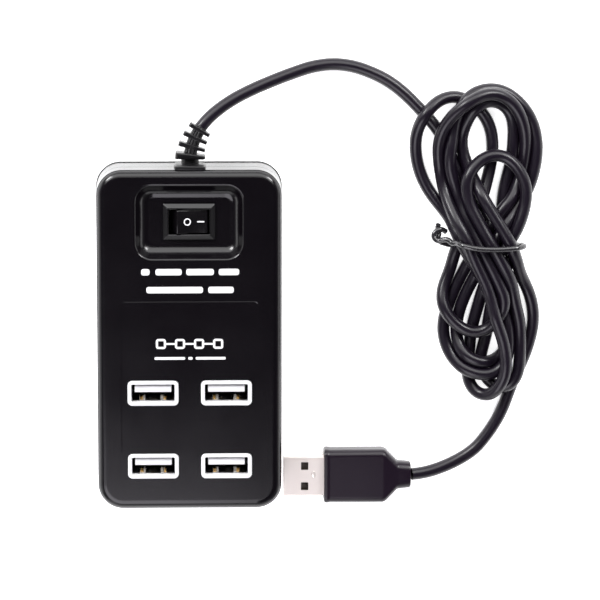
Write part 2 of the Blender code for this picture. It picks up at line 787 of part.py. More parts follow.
def make_plug():
    across = Vector((0.0, 1.0, 0.0))
    middle = Vector((0.0, PLUG_Y, PLUG_Z))

    def ring(x, width, height, radius, steps=4):
        outline = rounded_outline(width, height, radius, steps)
        return [middle + Vector((x, 0.0, z)) + across * y for y, z in outline]

    grip_start = PLUG_SHELL_END - 0.2 * MM
    grip = loft(
        "plug_grip",
        [
            ring(grip_start, GRIP_SIZE[0] - 1.0 * MM, GRIP_SIZE[1] - 1.0 * MM, 1.2 * MM),
            ring(grip_start + 0.6 * MM, *GRIP_SIZE, 1.6 * MM),
            ring(GRIP_END, *GRIP_SIZE, 1.6 * MM),
            ring(NECK_START, 8.2 * MM, 7.0 * MM, 2.2 * MM),
            ring(NECK_END, 8.0 * MM, 6.4 * MM, 2.4 * MM),
        ],
        cord_jacket(),
    )
    socket = loft(
        "plug_grip_socket",
        [
            ring(grip_start - 1.0 * MM, PLUG_SHELL[0] + 2 * GAP, PLUG_SHELL[1] + 2 * GAP, 0.7 * MM),
            ring(grip_start + 6.0 * MM, PLUG_SHELL[0] + 2 * GAP, PLUG_SHELL[1] + 2 * GAP, 0.7 * MM),
        ],
        cord_jacket(),
    )
    combine(grip, socket, "DIFFERENCE")
    shell_back = grip_start + 5.7 * MM
    shell = loft(
        "plug_shell",
        [ring(PLUG_TIP, *PLUG_SHELL, 0.5 * MM, 2), ring(shell_back, *PLUG_SHELL, 0.5 * MM, 2)],
        tin_plate(),
    )
    inner_size = (PLUG_SHELL[0] - 2 * SHELL_WALL, PLUG_SHELL[1] - 2 * SHELL_WALL)
    inside = loft(
        "plug_shell_inside",
        [ring(PLUG_TIP - 1.0 * MM, *inner_size, 0.3 * MM, 2), ring(shell_back + 1.0 * MM, *inner_size, 0.3 * MM, 2)],
        tin_plate(),
    )
    combine(shell, inside, "DIFFERENCE")
    for side in (-1, 1):
        window_y = PLUG_Y + side * 3.1 * MM
        window = box(
            f"plug_window_{side}",
            (33.4 * MM, window_y - 1.2 * MM, PLUG_Z - 4.0 * MM),
            (35.6 * MM, window_y + 1.2 * MM, PLUG_Z + 4.0 * MM),
            tin_plate(),
        )
        combine(shell, window, "DIFFERENCE")
    half_y = inner_size[0] / 2 - GAP
    low_z = PLUG_Z - inner_size[1] / 2 + GAP
    box(
        "plug_insulator",
        (PLUG_TIP + 0.5 * MM, PLUG_Y - half_y, low_z),
        (shell_back - 0.5 * MM, PLUG_Y + half_y, low_z + 1.5 * MM),
        white_plastic(),
    )
    for number, offset in enumerate((-3.5 * MM, -1.0 * MM, 1.0 * MM, 3.5 * MM), 1):
        contact_y = PLUG_Y + offset
        box(
            f"plug_contact_{number}",
            (PLUG_TIP + 2.0 * MM, contact_y - 0.5 * MM, low_z + 1.5 * MM + GAP),
            (shell_back - 3.0 * MM, contact_y + 0.5 * MM, low_z + 1.5 * MM + GAP + 0.3 * MM),
            brass(),
        )


def make_cord():
    jacket = cord_jacket()
    lead = spline_points([(x * MM, y * MM, z * MM) for x, y, z in LEAD_ROUTE], 1)
    tube("cord_lead", lead, CORD_RADIUS, jacket)
    tail = spline_points([(x * MM, y * MM, z * MM) for x, y, z in TAIL_ROUTE], 1)
    tube("cord_tail", tail, CORD_RADIUS, jacket)
    outline = spline_points([(x * MM, y * MM, 0.0) for x, y in BUNDLE_OUTLINE], 3, closed=True)
    levels = ((0.0, -1.0 * MM), (1.5 * MM, 0.0), (BUNDLE_HEIGHT - 2.5 * MM, 0.0), (BUNDLE_HEIGHT, -2.5 * MM))
    middle = sum(outline, Vector()) / len(outline)
    rings = []
    for height, grow in levels:
        ring = []
        for point in outline:
            outward = (point - middle).normalized()
            ring.append(point + outward * grow + Vector((0.0, 0.0, height)))
        rings.append(ring)
    bundle = loft("cord_bundle", rings, jacket)
    half_groove = TIE_RADIUS + 2 * GAP
    groove = box(
        "tie_groove",
        (60.0 * MM, TIE_Y - half_groove, -5.0 * MM),
        (120.0 * MM, TIE_Y + half_groove, 30.0 * MM),
        jacket,
    )
    waist = box(
        "tie_waist",
        (WAIST[0][0], TIE_Y - 5.0 * MM, WAIST[1][0]),
        (WAIST[0][1], TIE_Y + 5.0 * MM, WAIST[1][1]),
        jacket,
    )
    combine(groove, waist, "DIFFERENCE")
    combine(bundle, groove, "DIFFERENCE")
    clearance = TIE_RADIUS + GAP
    low = (WAIST[0][0] - clearance, WAIST[1][0] - clearance)
    high = (WAIST[0][1] + clearance, WAIST[1][1] + clearance)
    size = (high[0] - low[0], high[1] - low[1])
    centre = ((high[0] + low[0]) / 2, (high[1] + low[1]) / 2)
    loop = rounded_outline(*size, 1.6 * MM, 3, centre)
    tube("cord_tie", [(x, TIE_Y, z) for x, z in loop], TIE_RADIUS, jacket, closed=True)


def main():
    clear_scene()
    make_front_cover()
    make_back_cover()
    make_feet()
    make_screws()
    for number, centre in enumerate(port_centres(), 1):
        make_port_frame(number, centre)
        make_port_shell(number, centre)
        make_port_tongue(number, centre)
    make_switch_housing()
    make_rocker(rocker_holder())
    make_switch_contacts()
    make_board()
    make_inner_wires()
    make_strain_relief()
    make_plug()
    make_cord()


main()
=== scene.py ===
import math

import bmesh
import bpy
import numpy as np
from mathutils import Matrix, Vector


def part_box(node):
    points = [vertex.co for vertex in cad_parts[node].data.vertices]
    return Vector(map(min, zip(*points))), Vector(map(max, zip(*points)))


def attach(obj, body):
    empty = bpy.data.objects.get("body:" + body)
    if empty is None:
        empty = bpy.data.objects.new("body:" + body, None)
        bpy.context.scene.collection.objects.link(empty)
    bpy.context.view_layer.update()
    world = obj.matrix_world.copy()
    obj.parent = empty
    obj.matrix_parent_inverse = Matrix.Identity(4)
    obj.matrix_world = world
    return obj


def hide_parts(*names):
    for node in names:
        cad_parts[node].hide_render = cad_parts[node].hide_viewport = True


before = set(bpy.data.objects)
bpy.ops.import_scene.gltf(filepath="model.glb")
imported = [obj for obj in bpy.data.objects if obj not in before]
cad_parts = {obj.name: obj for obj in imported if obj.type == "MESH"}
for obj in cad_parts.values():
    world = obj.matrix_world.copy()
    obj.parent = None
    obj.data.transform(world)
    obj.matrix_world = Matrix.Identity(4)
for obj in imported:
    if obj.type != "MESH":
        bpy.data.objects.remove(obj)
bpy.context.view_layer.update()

MM = 0.001
CORD_RADIUS = 1.85
CORD_WIDTH = 2 * CORD_RADIUS


def add(name, data):
    """A new object in the scene."""
    made = bpy.data.objects.new(name, data)
    bpy.context.collection.objects.link(made)
    return made


# ---- camera

camera_data = bpy.data.cameras.new("camera")
camera_data.sensor_width = 36.0
camera_data.lens = 181.8
camera = add("camera", camera_data)
camera.location = (0.0, 0.1473, 0.900)
camera.rotation_euler = (math.radians(-8.75), math.radians(-2.10), math.radians(0.099))
bpy.context.scene.camera = camera

# ---- cord

# The free stretches' route points in metres: the lead to the loops, and the tail to the plug.
LEAD_ROUTE = [(0.00405, 0.06245, 0.0095), (0.0056, 0.0642, 0.0091), (0.0081, 0.0664, 0.0084),
              (0.0112, 0.0686, 0.0075), (0.0150, 0.0708, 0.0064), (0.0200, 0.0731, 0.0050),
              (0.0255, 0.0753, 0.0037), (0.0310, 0.0773, 0.0026), (0.0365, 0.0790, 0.0020),
              (0.0425, 0.0798, 0.0019), (0.0485, 0.0792, 0.0019), (0.0540, 0.0774, 0.0019),
              (0.0592, 0.0748, 0.0019), (0.0640, 0.0712, 0.0019)]
LEAD_INTO_LOOPS = [(0.0697, 0.0654, 0.0019), (0.0745, 0.0595, 0.0019), (0.0795, 0.0500, 0.0019),
                   (0.0840, 0.0395, 0.0019)]
TAIL_OUT_OF_LOOPS = [(0.0965, -0.0187, 0.0019)]
TAIL_ROUTE = [(0.0947, -0.0237, 0.0019), (0.0926, -0.0280, 0.0019), (0.0896, -0.0326, 0.0019),
              (0.0862, -0.0366, 0.0019), (0.0819, -0.0396, 0.0019), (0.0773, -0.0418, 0.0020),
              (0.0730, -0.0432, 0.0026), (0.0696, -0.0438, 0.0035), (0.0669, -0.0440, 0.0040)]
# Where the cord starts inside the strain relief, in millimetres.
CORD_START = (3.35, 61.6, 9.53)
ROUTE_STEPS = 6

# The figure-eight turns in order, in millimetres. Each goes from the tie round one end and back:
# where it leaves the tie, its right side, its end, its left side, and its heights there in layers.
TURNS = [
    # leave  right (x, y)    end (x, y)      left (x, y)     heights
    (90.5, (96.0, -4.5), (89.0, -10.9), (80.3, 0.0), (0.0, 0.0, 0.9, 0.8)),
    (91.5, (102.6, 54.5), (89.0, 72.4), (77.4, 54.0), (1.0, 0.2, 0.9, 1.0)),
    (87.4, (94.6, 10.5), (86.0, -0.5), (75.6, 13.0), (1.8, 1.4, 1.8, 1.5)),
    (78.5, (90.7, 55.0), (78.5, 70.2), (67.4, 56.5), (0.6, 0.0, 0.9, 1.0)),
    (81.5, (96.2, -1.0), (87.0, -12.8), (76.1, 2.0), (1.7, 1.0, 1.5, 0.8)),
    (88.0, (101.2, 56.0), (89.6, 71.4), (74.8, 54.0), (1.0, 1.2, 1.9, 1.9)),
    (84.5, (94.6, -12.2), (89.3, -19.6), (83.2, -12.5), (2.5, 2.3, 1.1, 0.1)),
    (95.0, (100.3, 38.0), (91.4, 53.4), (82.9, 42.0), (1.5, 2.0, 2.6, 2.8)),
    (90.6, (99.3, -9.0), (94.2, -18.3), (89.2, -9.0), (2.6, 1.6, 0.6, 0.1)),
    (94.0, (97.2, 60.5), (90.3, 69.4), (80.6, 55.0), (0.5, 0.9, 0.9, 1.0)),
]
LAST_LEAVE = 96.3
LAST_HEIGHT = 1.6
TAIL_SIDE = (103.6, 1.0)
LAYER = CORD_WIDTH * 0.87

# How far the drawn curve swings out at the tie, beside a loop and round its end.
TIE_SWING = 1.05
SIDE_SWING = 1.3
END_SWING = 1.66
TURN_STEPS = 14

# How the turns settle: lengths in millimetres, and the shares of a fault put right in a round.
PLAN_SPACING = 0.9
SPACING = 1.8
SET_LEAD = 62
SET_TAIL = 48
FLOOR_GAP = 0.05
SINK = 0.05
PUSH = 0.8
PUSH_AXES = np.array([0.7, 0.7, 1.6])
EVEN_OUT = 0.5
STIFFEN = 0.25
LEVEL_OUT = 0.15
KEEP_PLAN = 0.04

# The tie's place along Y, the bands about it where strands run straighter and are pressed
# together, and the size of the waist.
TIE_Y = 26.0
BUNDLE_X = 70.0
TAUT = 0.17
TAUT_BAND = 9.0
SQUEEZE = 0.25
PRESS = 0.35
TIED_BAND = 5.0
TIE_MIDDLE = 88.3
TIE_HALF = 9.5
TIE_TOP = 10.2
TIE_LIFT = 1.65
TIE_WIRE = 0.8


def hermite(a, b, out_of_a, into_b, steps):
    """Points of the cubic from a to b with the given end slopes, b left out."""
    t = (np.arange(steps) / steps)[:, None]
    return ((2 * t**3 - 3 * t**2 + 1) * a + (t**3 - 2 * t**2 + t) * out_of_a
            + (3 * t**2 - 2 * t**3) * b + (t**3 - t**2) * into_b)


def travelled(points):
    """The distance along the polyline to each of its points."""
    steps = np.linalg.norm(np.diff(points, axis=0), axis=1)
    return np.concatenate([[0.0], np.cumsum(steps)])


def resampled(points, along, places):
    """The polyline's points at the given distances along it."""
    return np.stack([np.interp(places, along, column) for column in points.T], axis=1)


def evenly(points, spacing):
    """The polyline's points again, evenly spaced along its length."""
    along = travelled(points)
    count = int(round(along[-1] / spacing)) + 1
    return resampled(points, along, np.linspace(0.0, along[-1], count))


def through(points, steps):
    """A smooth curve through route points."""
    points = np.asarray(points, float)
    slopes = np.gradient(points, axis=0)
    pieces = [hermite(points[i], points[i + 1], slopes[i], slopes[i + 1], steps)
              for i in range(len(points) - 1)]
    return np.concatenate(pieces + [points[-1:]])


def planned_turns():
    """The turns as drawn, before they settle on each other."""
    keys = []
    for leave, right, end, left, heights in TURNS:
        sign = 1.0 if end[1] > TIE_Y else -1.0
        height = [CORD_RADIUS + LAYER * h for h in heights]
        keys += [((leave, TIE_Y, height[0]), None), ((*right, height[1]), (0.0, sign)),
                 ((*end, height[2]), (-1.0, 0.0)), ((*left, height[3]), (0.0, -sign))]
    keys += [((LAST_LEAVE, TIE_Y, CORD_RADIUS + LAST_HEIGHT * CORD_WIDTH), None),
             ((*TAIL_SIDE, CORD_RADIUS), (0.0, -1.0))]
    places = [np.array(place) for place, _ in keys]
    lead = np.array(LEAD_INTO_LOOPS[-1]) / MM
    points = []
    for i in range(len(keys) - 1):
        a, b = places[i], places[i + 1]
        reach = np.abs(b - a)
        round_end = keys[i][1] is not None and keys[i + 1][1] is not None
        swing = END_SWING if round_end else SIDE_SWING
        slopes = []
        for k in (i, i + 1):
            way = keys[k][1]
            if way is None:
                before = lead if k == 0 else places[k - 1]
                across = places[k + 1] - before
                across /= np.linalg.norm(across[:2])
                slopes.append(across * np.hypot(*reach[:2]) * TIE_SWING)
            else:
                slopes.append(np.array([way[0] * reach[0] * swing, way[1] * reach[1] * swing, 0.0]))
        points.append(hermite(a, b, slopes[0], slopes[1], TURN_STEPS))
    return np.concatenate(points + [places[-1][None]])


def planned_cord():
    """The whole cord from the strain relief to the plug, in millimetres, and its loose stretch."""
    lead = through(np.array(LEAD_ROUTE + LEAD_INTO_LOOPS) / MM, ROUTE_STEPS)
    tail = through(np.array(TAIL_OUT_OF_LOOPS + TAIL_ROUTE) / MM, ROUTE_STEPS)
    line = evenly(np.concatenate([lead, planned_turns(), tail]), PLAN_SPACING)
    for _ in range(60):
        line[1:-1, 2] += 0.25 * (line[:-2, 2] - 2 * line[1:-1, 2] + line[2:, 2])
    line = evenly(line, SPACING)
    return line, slice(int(SET_LEAD / SPACING), len(line) - int(SET_TAIL / SPACING))


def near_pairs(line, reach):
    """Pairs of points of the line within reach of each other that aren't neighbours along it."""
    skip = int(math.ceil(1.6 * CORD_WIDTH / SPACING))
    first, second = np.triu_indices(len(line), skip)
    apart = line[first] - line[second]
    close = (apart**2).sum(axis=1) < reach**2
    return first[close], second[close]


def push_apart(line, first, second):
    """Moves overlapping points apart, sooner up and down than sideways."""
    apart = line[first] - line[second]
    distance = np.linalg.norm(apart, axis=1)
    hit = distance < CORD_WIDTH
    a, b = first[hit], second[hit]
    way = apart[hit] * PUSH_AXES
    way /= np.maximum(np.linalg.norm(way, axis=1), 1e-6)[:, None]
    push = way * (0.5 * PUSH * (CORD_WIDTH - distance[hit]))[:, None]
    move = np.zeros_like(line)
    hits = np.zeros(len(line))
    np.add.at(move, a, push)
    np.add.at(move, b, -push)
    np.add.at(hits, a, 1)
    np.add.at(hits, b, 1)
    line += move / np.maximum(hits, 1)[:, None] * np.minimum(hits, 2.0)[:, None]


def near_tie(line, band):
    """How close each point of the bundle is to the tie, from 0 to 1."""
    return np.exp(-((line[:, 1] - TIE_Y) / band) ** 2) * (line[:, 0] > BUNDLE_X)


def settled_cord(rounds=900):
    """The cord after its turns have sunk onto the floor and each other without passing through."""
    line, loose = planned_cord()
    plan = line.copy()
    rest = np.linalg.norm(np.diff(line, axis=0), axis=1).mean()
    held = np.ones(len(line), bool)
    held[loose] = False
    fixed = line[held].copy()
    for turn in range(rounds):
        if turn % 6 == 0:
            first, second = near_pairs(line, 1.35 * CORD_WIDTH)
        left = 1 - turn / rounds
        line[:, 2] -= SINK * min(1.0, left * 3)
        for _ in range(2):
            push_apart(line, first, second)
        step = np.diff(line, axis=0)
        length = np.linalg.norm(step, axis=1)
        fix = step * (0.5 * (1 - rest / length))[:, None] * EVEN_OUT
        line[:-1] += fix
        line[1:] -= fix
        bend = np.zeros_like(line)
        bend[1:-1] = (line[:-2] + line[2:]) / 2 - line[1:-1]
        stiff = np.zeros_like(line)
        stiff[2:-2] = (bend[1:-3] + bend[3:-1]) / 2 - bend[2:-2]
        line -= STIFFEN * stiff
        line[:, 2] += LEVEL_OUT * bend[:, 2]
        line[:, :2] += KEEP_PLAN * min(1.0, left * 2) * (plan[:, :2] - line[:, :2])
        line[:, :2] += TAUT * near_tie(line, TAUT_BAND)[:, None] * bend[:, :2]
        tied = near_tie(line, TIED_BAND)
        out = line[:, 0] - TIE_MIDDLE
        wide = np.maximum(np.abs(out) - TIE_HALF, 0.0)
        line[:, 0] -= SQUEEZE * tied * wide * np.sign(out)
        line[:, 2] -= PRESS * tied * np.maximum(line[:, 2] - TIE_TOP, 0.0)
        line[:, 2] = np.maximum(line[:, 2], CORD_RADIUS + FLOOR_GAP + TIE_LIFT * tied)
        line[held] = fixed
    return line


# ---- materials

def node(tree, kind, **inputs):
    """A new shader node with some of its inputs set."""
    made = tree.nodes.new(kind)
    for name, value in inputs.items():
        made.inputs[name.replace("_", " ")].default_value = value
    return made


def join(tree, *links):
    """Links nodes, each link given as node, output, node and input."""
    for source, output, target, socket in links:
        tree.links.new(source.outputs[output], target.inputs[socket])


def finish(name, colour, roughness, metallic=0.0, grain=1500.0, bump=0.08, spread=0.06, shade=0.12,
           mottle=60.0, coat=0.0, specular=0.5, stretch=(1.0, 1.0, 1.0), relief=0.00002):
    """A surface whose colour, roughness and height vary with two sizes of noise."""
    made = bpy.data.materials.new(name)
    made.use_nodes = True
    tree = made.node_tree
    shader = tree.nodes["Principled BSDF"]
    for socket, value in (("Metallic", metallic), ("Specular IOR Level", specular),
                          ("Coat Weight", coat), ("Coat Roughness", 0.12)):
        shader.inputs[socket].default_value = value
    place = tree.nodes.new("ShaderNodeTexCoord")
    mapping = node(tree, "ShaderNodeMapping", Scale=stretch)
    fine = node(tree, "ShaderNodeTexNoise", Scale=grain, Detail=4.0, Roughness=0.55)
    broad = node(tree, "ShaderNodeTexNoise", Scale=mottle, Detail=3.0, Roughness=0.6)
    tint = tree.nodes.new("ShaderNodeMix")
    tint.data_type = "RGBA"
    dark = [channel * (1 - shade) for channel in colour]
    light = [min(1.0, channel * (1 + shade)) for channel in colour]
    tint.inputs["A"].default_value = (*dark, 1.0)
    tint.inputs["B"].default_value = (*light, 1.0)
    worn = node(tree, "ShaderNodeMapRange", To_Min=max(0.02, roughness - spread),
                To_Max=min(1.0, roughness + spread))
    bumps = node(tree, "ShaderNodeBump", Strength=bump, Distance=relief)
    join(tree, (place, "Object", mapping, "Vector"), (mapping, "Vector", fine, "Vector"),
         (place, "Object", broad, "Vector"), (broad, "Fac", tint, "Factor"),
         (tint, "Result", shader, "Base Color"), (broad, "Fac", worn, "Value"),
         (worn, "Result", shader, "Roughness"), (fine, "Fac", bumps, "Height"),
         (bumps, "Normal", shader, "Normal"))
    return made


CASE = finish("case_black", (0.0030, 0.0022, 0.0034), 0.17, grain=2600.0, bump=0.10, spread=0.05)
CASE_BACK = finish("case_back_black", (0.0030, 0.0022, 0.0034), 0.20, grain=2600.0, bump=0.12,
                   spread=0.05)
SWITCH = finish("switch_black", (0.0035, 0.0030, 0.0038), 0.25, grain=3000.0, bump=0.12)
ROCKER = finish("rocker_black", (0.0035, 0.0030, 0.0038), 0.22, grain=3000.0, bump=0.10)
MARK = finish("print_white", (0.86, 0.86, 0.87), 0.45, grain=4000.0, bump=0.15, shade=0.04)
FRAME = finish("frame_white", (0.87, 0.87, 0.88), 0.32, grain=2500.0, bump=0.06, shade=0.03)
TONGUE = finish("tongue_white", (0.84, 0.84, 0.85), 0.40, grain=2500.0, bump=0.06, shade=0.03)
TIN = finish("port_tin", (0.50, 0.50, 0.52), 0.30, 1.0, grain=900.0, bump=0.10,
             stretch=(1.0, 1.0, 8.0))
GOLD = finish("contact_gold", (0.86, 0.62, 0.26), 0.22, 1.0, grain=1800.0, bump=0.06)
BRASS = finish("contact_brass", (0.75, 0.56, 0.28), 0.28, 1.0)
FINGER = finish("port_finger", (0.92, 0.88, 0.82), 0.22, 1.0, bump=0.06)
SPRING = finish("spring_steel", (0.58, 0.58, 0.60), 0.25, 1.0, grain=2500.0)
SCREW = finish("screw_steel", (0.52, 0.52, 0.54), 0.33, 1.0, grain=2200.0, bump=0.14)
RUBBER = finish("foot_rubber", (0.020, 0.020, 0.021), 0.62, grain=2600.0, bump=0.35, shade=0.2)
BOARD = finish("board_green", (0.010, 0.13, 0.045), 0.33, grain=700.0, bump=0.12, coat=0.3)
CHIP = finish("chip_black", (0.016, 0.016, 0.017), 0.55, grain=2600.0, bump=0.3)
CAN = finish("crystal_can", (0.66, 0.66, 0.68), 0.24, 1.0, grain=1200.0)
SLEEVE = finish("capacitor_sleeve", (0.02, 0.02, 0.045), 0.3, grain=1200.0, bump=0.06)
INSULATION = {name: finish(f"wire_{name}", colour, 0.38)
              for name, colour in (("red", (0.55, 0.02, 0.02)), ("white", (0.80, 0.80, 0.78)),
                                   ("green", (0.02, 0.32, 0.07)), ("black", (0.02, 0.02, 0.02)))}
RELIEF = finish("relief_black", (0.0045, 0.0040, 0.0050), 0.31, grain=2000.0, bump=0.18)
JACKET = finish("cord_black", (0.0068, 0.0043, 0.0094), 0.30, grain=1300.0, bump=0.10, mottle=90.0,
                spread=0.07, specular=0.45)
TIE = finish("tie_black", (0.020, 0.0185, 0.0215), 0.16, grain=1800.0, bump=0.06, spread=0.04,
             specular=0.9)
GRIP = finish("plug_black", (0.0078, 0.0036, 0.0092), 0.30, grain=2400.0, bump=0.16, spread=0.05,
              specular=0.42)
PLUG_METAL = finish("plug_metal", (1.0, 0.895, 0.850), 0.23, 0.42, grain=500.0, bump=0.05,
                    shade=0.04, stretch=(1.0, 14.0, 1.0))
# Painted shade: the latch tabs under the plug's windows are coloured dark brown for the shade
# inside the windows.
PAD_SHADE = finish("plug_pad_painted_shade", (0.030, 0.021, 0.014), 0.38, grain=2000.0, bump=0.12)
INSULATOR = finish("plug_insulator", (0.035, 0.034, 0.034), 0.42, grain=2500.0, bump=0.06,
                   shade=0.04)


# ---- mesh helpers

def solid(name, vertices, faces):
    """A mesh object from points in millimetres."""
    mesh = bpy.data.meshes.new(name)
    mesh.from_pydata([Vector(v) * MM for v in vertices], [], faces)
    return add(name, mesh)


def face_outwards(mesh):
    bm = bmesh.new()
    bm.from_mesh(mesh)
    bmesh.ops.recalc_face_normals(bm, faces=bm.faces)
    bm.to_mesh(mesh)
    bm.free()


def smooth(mesh, angle):
    """Smooth shading, with edges sharper than the angle kept sharp."""
    mesh.shade_smooth()
    mesh.set_sharp_from_angle(angle=math.radians(angle))


def piece(name, vertices, faces, surface, body="hub", replaced=(), slot=None, angle=32.0):
    """A visible mesh in millimetres, riding on a body and standing for CAD nodes."""
    made = solid(name, vertices, faces)
    made.data.materials.append(surface)
    face_outwards(made.data)
    smooth(made.data, angle)
    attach(made, body)
    if replaced:
        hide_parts(*replaced)
    return made


def scratch(name, vertices, faces):
    """A closed solid that only shapes another piece."""
    made = solid(name, vertices, faces)
    face_outwards(made.data)
    return made


def shape(target, tools, operation="DIFFERENCE", angle=32.0):
    """Cuts or joins the tools into the target and removes them."""
    for tool in tools:
        cut = target.modifiers.new("shape", "BOOLEAN")
        cut.operation = operation
        cut.solver = "EXACT"
        cut.object = tool
    bpy.context.view_layer.update()
    evaluated = target.evaluated_get(bpy.context.evaluated_depsgraph_get())
    shaped = bpy.data.meshes.new_from_object(evaluated)
    target.modifiers.clear()
    old = target.data
    surface = old.materials[0]
    target.data = shaped
    bpy.data.meshes.remove(old)
    shaped.materials.clear()
    shaped.materials.append(surface)
    for tool in tools:
        mesh = tool.data
        bpy.data.objects.remove(tool, do_unlink=True)
        bpy.data.meshes.remove(mesh)
    for polygon in shaped.polygons:
        polygon.material_index = 0
    smooth(shaped, angle)


def weigh_normals(made):
    """Keeps flat faces flat beside their rounded edges."""
    weigh = made.modifiers.new("weigh", "WEIGHTED_NORMAL")
    weigh.keep_sharp = True
    weigh.weight = 90


def quarter(steps):
    """Angles of a quarter turn, both ends included."""
    return [math.pi / 2 * step / steps for step in range(steps + 1)]


def around(sides):
    """Angles of a full turn, the last left out."""
    return [2 * math.pi * side / sides for side in range(sides)]


def rounded(width, length, radius, steps=10, centre=(0.0, 0.0)):
    """Corners of a rounded rectangle, anticlockwise."""
    radius = min(radius, width / 2 - 0.001, length / 2 - 0.001)
    outline = []
    for corner in range(4):
        middle_x = (width / 2 - radius) * (1 if corner in (0, 3) else -1)
        middle_y = (length / 2 - radius) * (1 if corner in (0, 1) else -1)
        for step in range(steps + 1):
            turn = math.pi / 2 * (corner + step / steps)
            outline.append((centre[0] + middle_x + radius * math.cos(turn),
                            centre[1] + middle_y + radius * math.sin(turn)))
    return outline


def level(z, width, length, radius, steps=10, centre=(0.0, 0.0)):
    """A rounded rectangle at a height."""
    return [(x, y, z) for x, y in rounded(width, length, radius, steps, centre)]


def loft(rings, closed=False):
    """The skin over rings as vertices and faces; closed joins the last to the first."""
    count = len(rings[0])
    vertices = [point for ring in rings for point in ring]
    faces = []
    spans = len(rings) if closed else len(rings) - 1
    for ring in range(spans):
        low, high = ring * count, (ring + 1) % len(rings) * count
        for k in range(count):
            right = (k + 1) % count
            faces.append((low + k, low + right, high + right, high + k))
    if not closed:
        faces.append(tuple(range(count))[::-1])
        faces.append(tuple(range(len(vertices) - count, len(vertices))))
    return vertices, faces


def prism(heights, width, length, radius, steps, centre):
    """A rounded block between heights."""
    return loft([level(z, width, length, radius, steps, centre) for z in heights])


def plain_block(low, high):
    (x0, y0, z0), (x1, y1, z1) = low, high
    return loft([[(x0, y0, z), (x1, y0, z), (x1, y1, z), (x0, y1, z)] for z in (z0, z1)])


def soft_block(low, high, edge, steps=3):
    """A box whose edges are all rounded."""
    width, length = high[0] - low[0], high[1] - low[1]
    centre = ((high[0] + low[0]) / 2, (high[1] + low[1]) / 2)
    turns = quarter(steps)
    rings = []
    for end, direction, order in ((low[2], 1, turns), (high[2], -1, turns[::-1])):
        for turn in order:
            inset = edge * (1 - math.sin(turn))
            z = end + direction * edge * (1 - math.cos(turn))
            radius = max(edge - inset, 0.02) + 0.001
            rings.append(level(z, width - 2 * inset, length - 2 * inset, radius, 3, centre))
    return loft(rings)


def turned(centre, profile, sides=40):
    """A turned solid from heights and radii."""
    return loft([[(centre[0] + r * math.cos(a), centre[1] + r * math.sin(a), z)
                  for a in around(sides)] for z, r in profile])


def swept(path, radius, sides):
    """A tube along a path in millimetres."""
    path = [Vector(p) for p in path]
    rings = []
    normal = None
    for k, point in enumerate(path):
        along = (path[min(k + 1, len(path) - 1)] - path[max(k - 1, 0)]).normalized()
        if normal is None:
            normal = along.orthogonal().normalized()
        normal = (normal - along * normal.dot(along)).normalized()
        other = along.cross(normal)
        rings.append([point + (normal * math.cos(a) + other * math.sin(a)) * radius
                      for a in around(sides)])
    return loft(rings)


def several(parts):
    """One mesh's data from several."""
    vertices, faces = [], []
    for more, skin in parts:
        first = len(vertices)
        vertices += list(more)
        faces += [tuple(first + corner for corner in face) for face in skin]
    return vertices, faces


# ---- case

# Width, length and height of the drafted outline at the back and at the face.
BASE = (55.4, 102.0, 0.6)
FACE = (54.0, 100.6, 22.0)
CASE_RADIUS = 7.4
WALL = 2.0
SEAM_Z = 14.0
FILLET = 1.9
FILLET_REACH = 2.7
BACK_FILLET = 1.2
EDGE_STEP = 0.16
BASE_LIP = 0.24

# Rounded rectangles are given as width, length and corner radius.
DISH_Y = 35.1
DISH = (0.0, DISH_Y)
DISH_FLOOR_Z = 18.8
DISH_RIM = (32.6, 22.6, 5.2)
DISH_SLOPE = 4.6
# Distances in from the rim, and the slope there in degrees.
DISH_STEEPNESS = ((0.0, 0.7, 1.5, DISH_SLOPE), (0.0, 52.0, 52.0, 0.0))
SWITCH_HOLE = (13.4, 9.0, 0.5)
PORTS = [(-10.8, -15.5), (10.8, -15.5), (-10.8, -37.4), (10.8, -37.4)]
PORT_HOLE = (15.3, 7.75, 1.5)

# The inset panel: width, upper edge, lower edge and corner radius.
PANEL = (40.4, 11.8, -44.0, 1.0)
PANEL_DEPTH = 0.10
PANEL_FADE_Y = -33.0

SCREW_PLACES = [(x, y) for x in (-21.3, 21.3) for y in (-44.3, 44.3)]
FOOT_PLACES = [(x, y) for x in (-19.5, 19.5) for y in (-33.0, 33.0)]
SCREW_WELL = [(0.0, 2.75), (0.6, 2.75), (0.9, 2.45), (3.2, 2.45)]
FOOT_WELL = [(0.0, 4.3), (1.0, 4.3)]

# The inner end of the strain relief, and how far its plate sits above its axis.
RELIEF_START = (0.3, 45.6, 10.0)
PLATE_LIFT = 4.2


def case_ring(z, inset=0.0):
    """The case's drafted outline at a height, moved in by inset."""
    t = (z - BASE[2]) / (FACE[2] - BASE[2])
    width = BASE[0] + (FACE[0] - BASE[0]) * t - 2 * inset
    length = BASE[1] + (FACE[1] - BASE[1]) * t - 2 * inset
    return level(z, width, length, max(CASE_RADIUS - inset, 0.5), 14)


def panel_floor(y):
    """Height of the inset panel's floor, which rises to the face towards the -Y end."""
    slope = PANEL_DEPTH / (PANEL[1] - PANEL_FADE_Y)
    return FACE[2] - slope * (y - PANEL_FADE_Y)


def panel_ring(inset, z=None):
    """Outline of the inset panel, at a height or on its floor."""
    width, high_y, low_y, radius = PANEL
    centre = (0.0, (high_y + low_y) / 2)
    ring = rounded(width - 2 * inset, high_y - low_y - 2 * inset, radius, 4, centre)
    return [(x, y, panel_floor(y) if z is None else z) for x, y in ring]


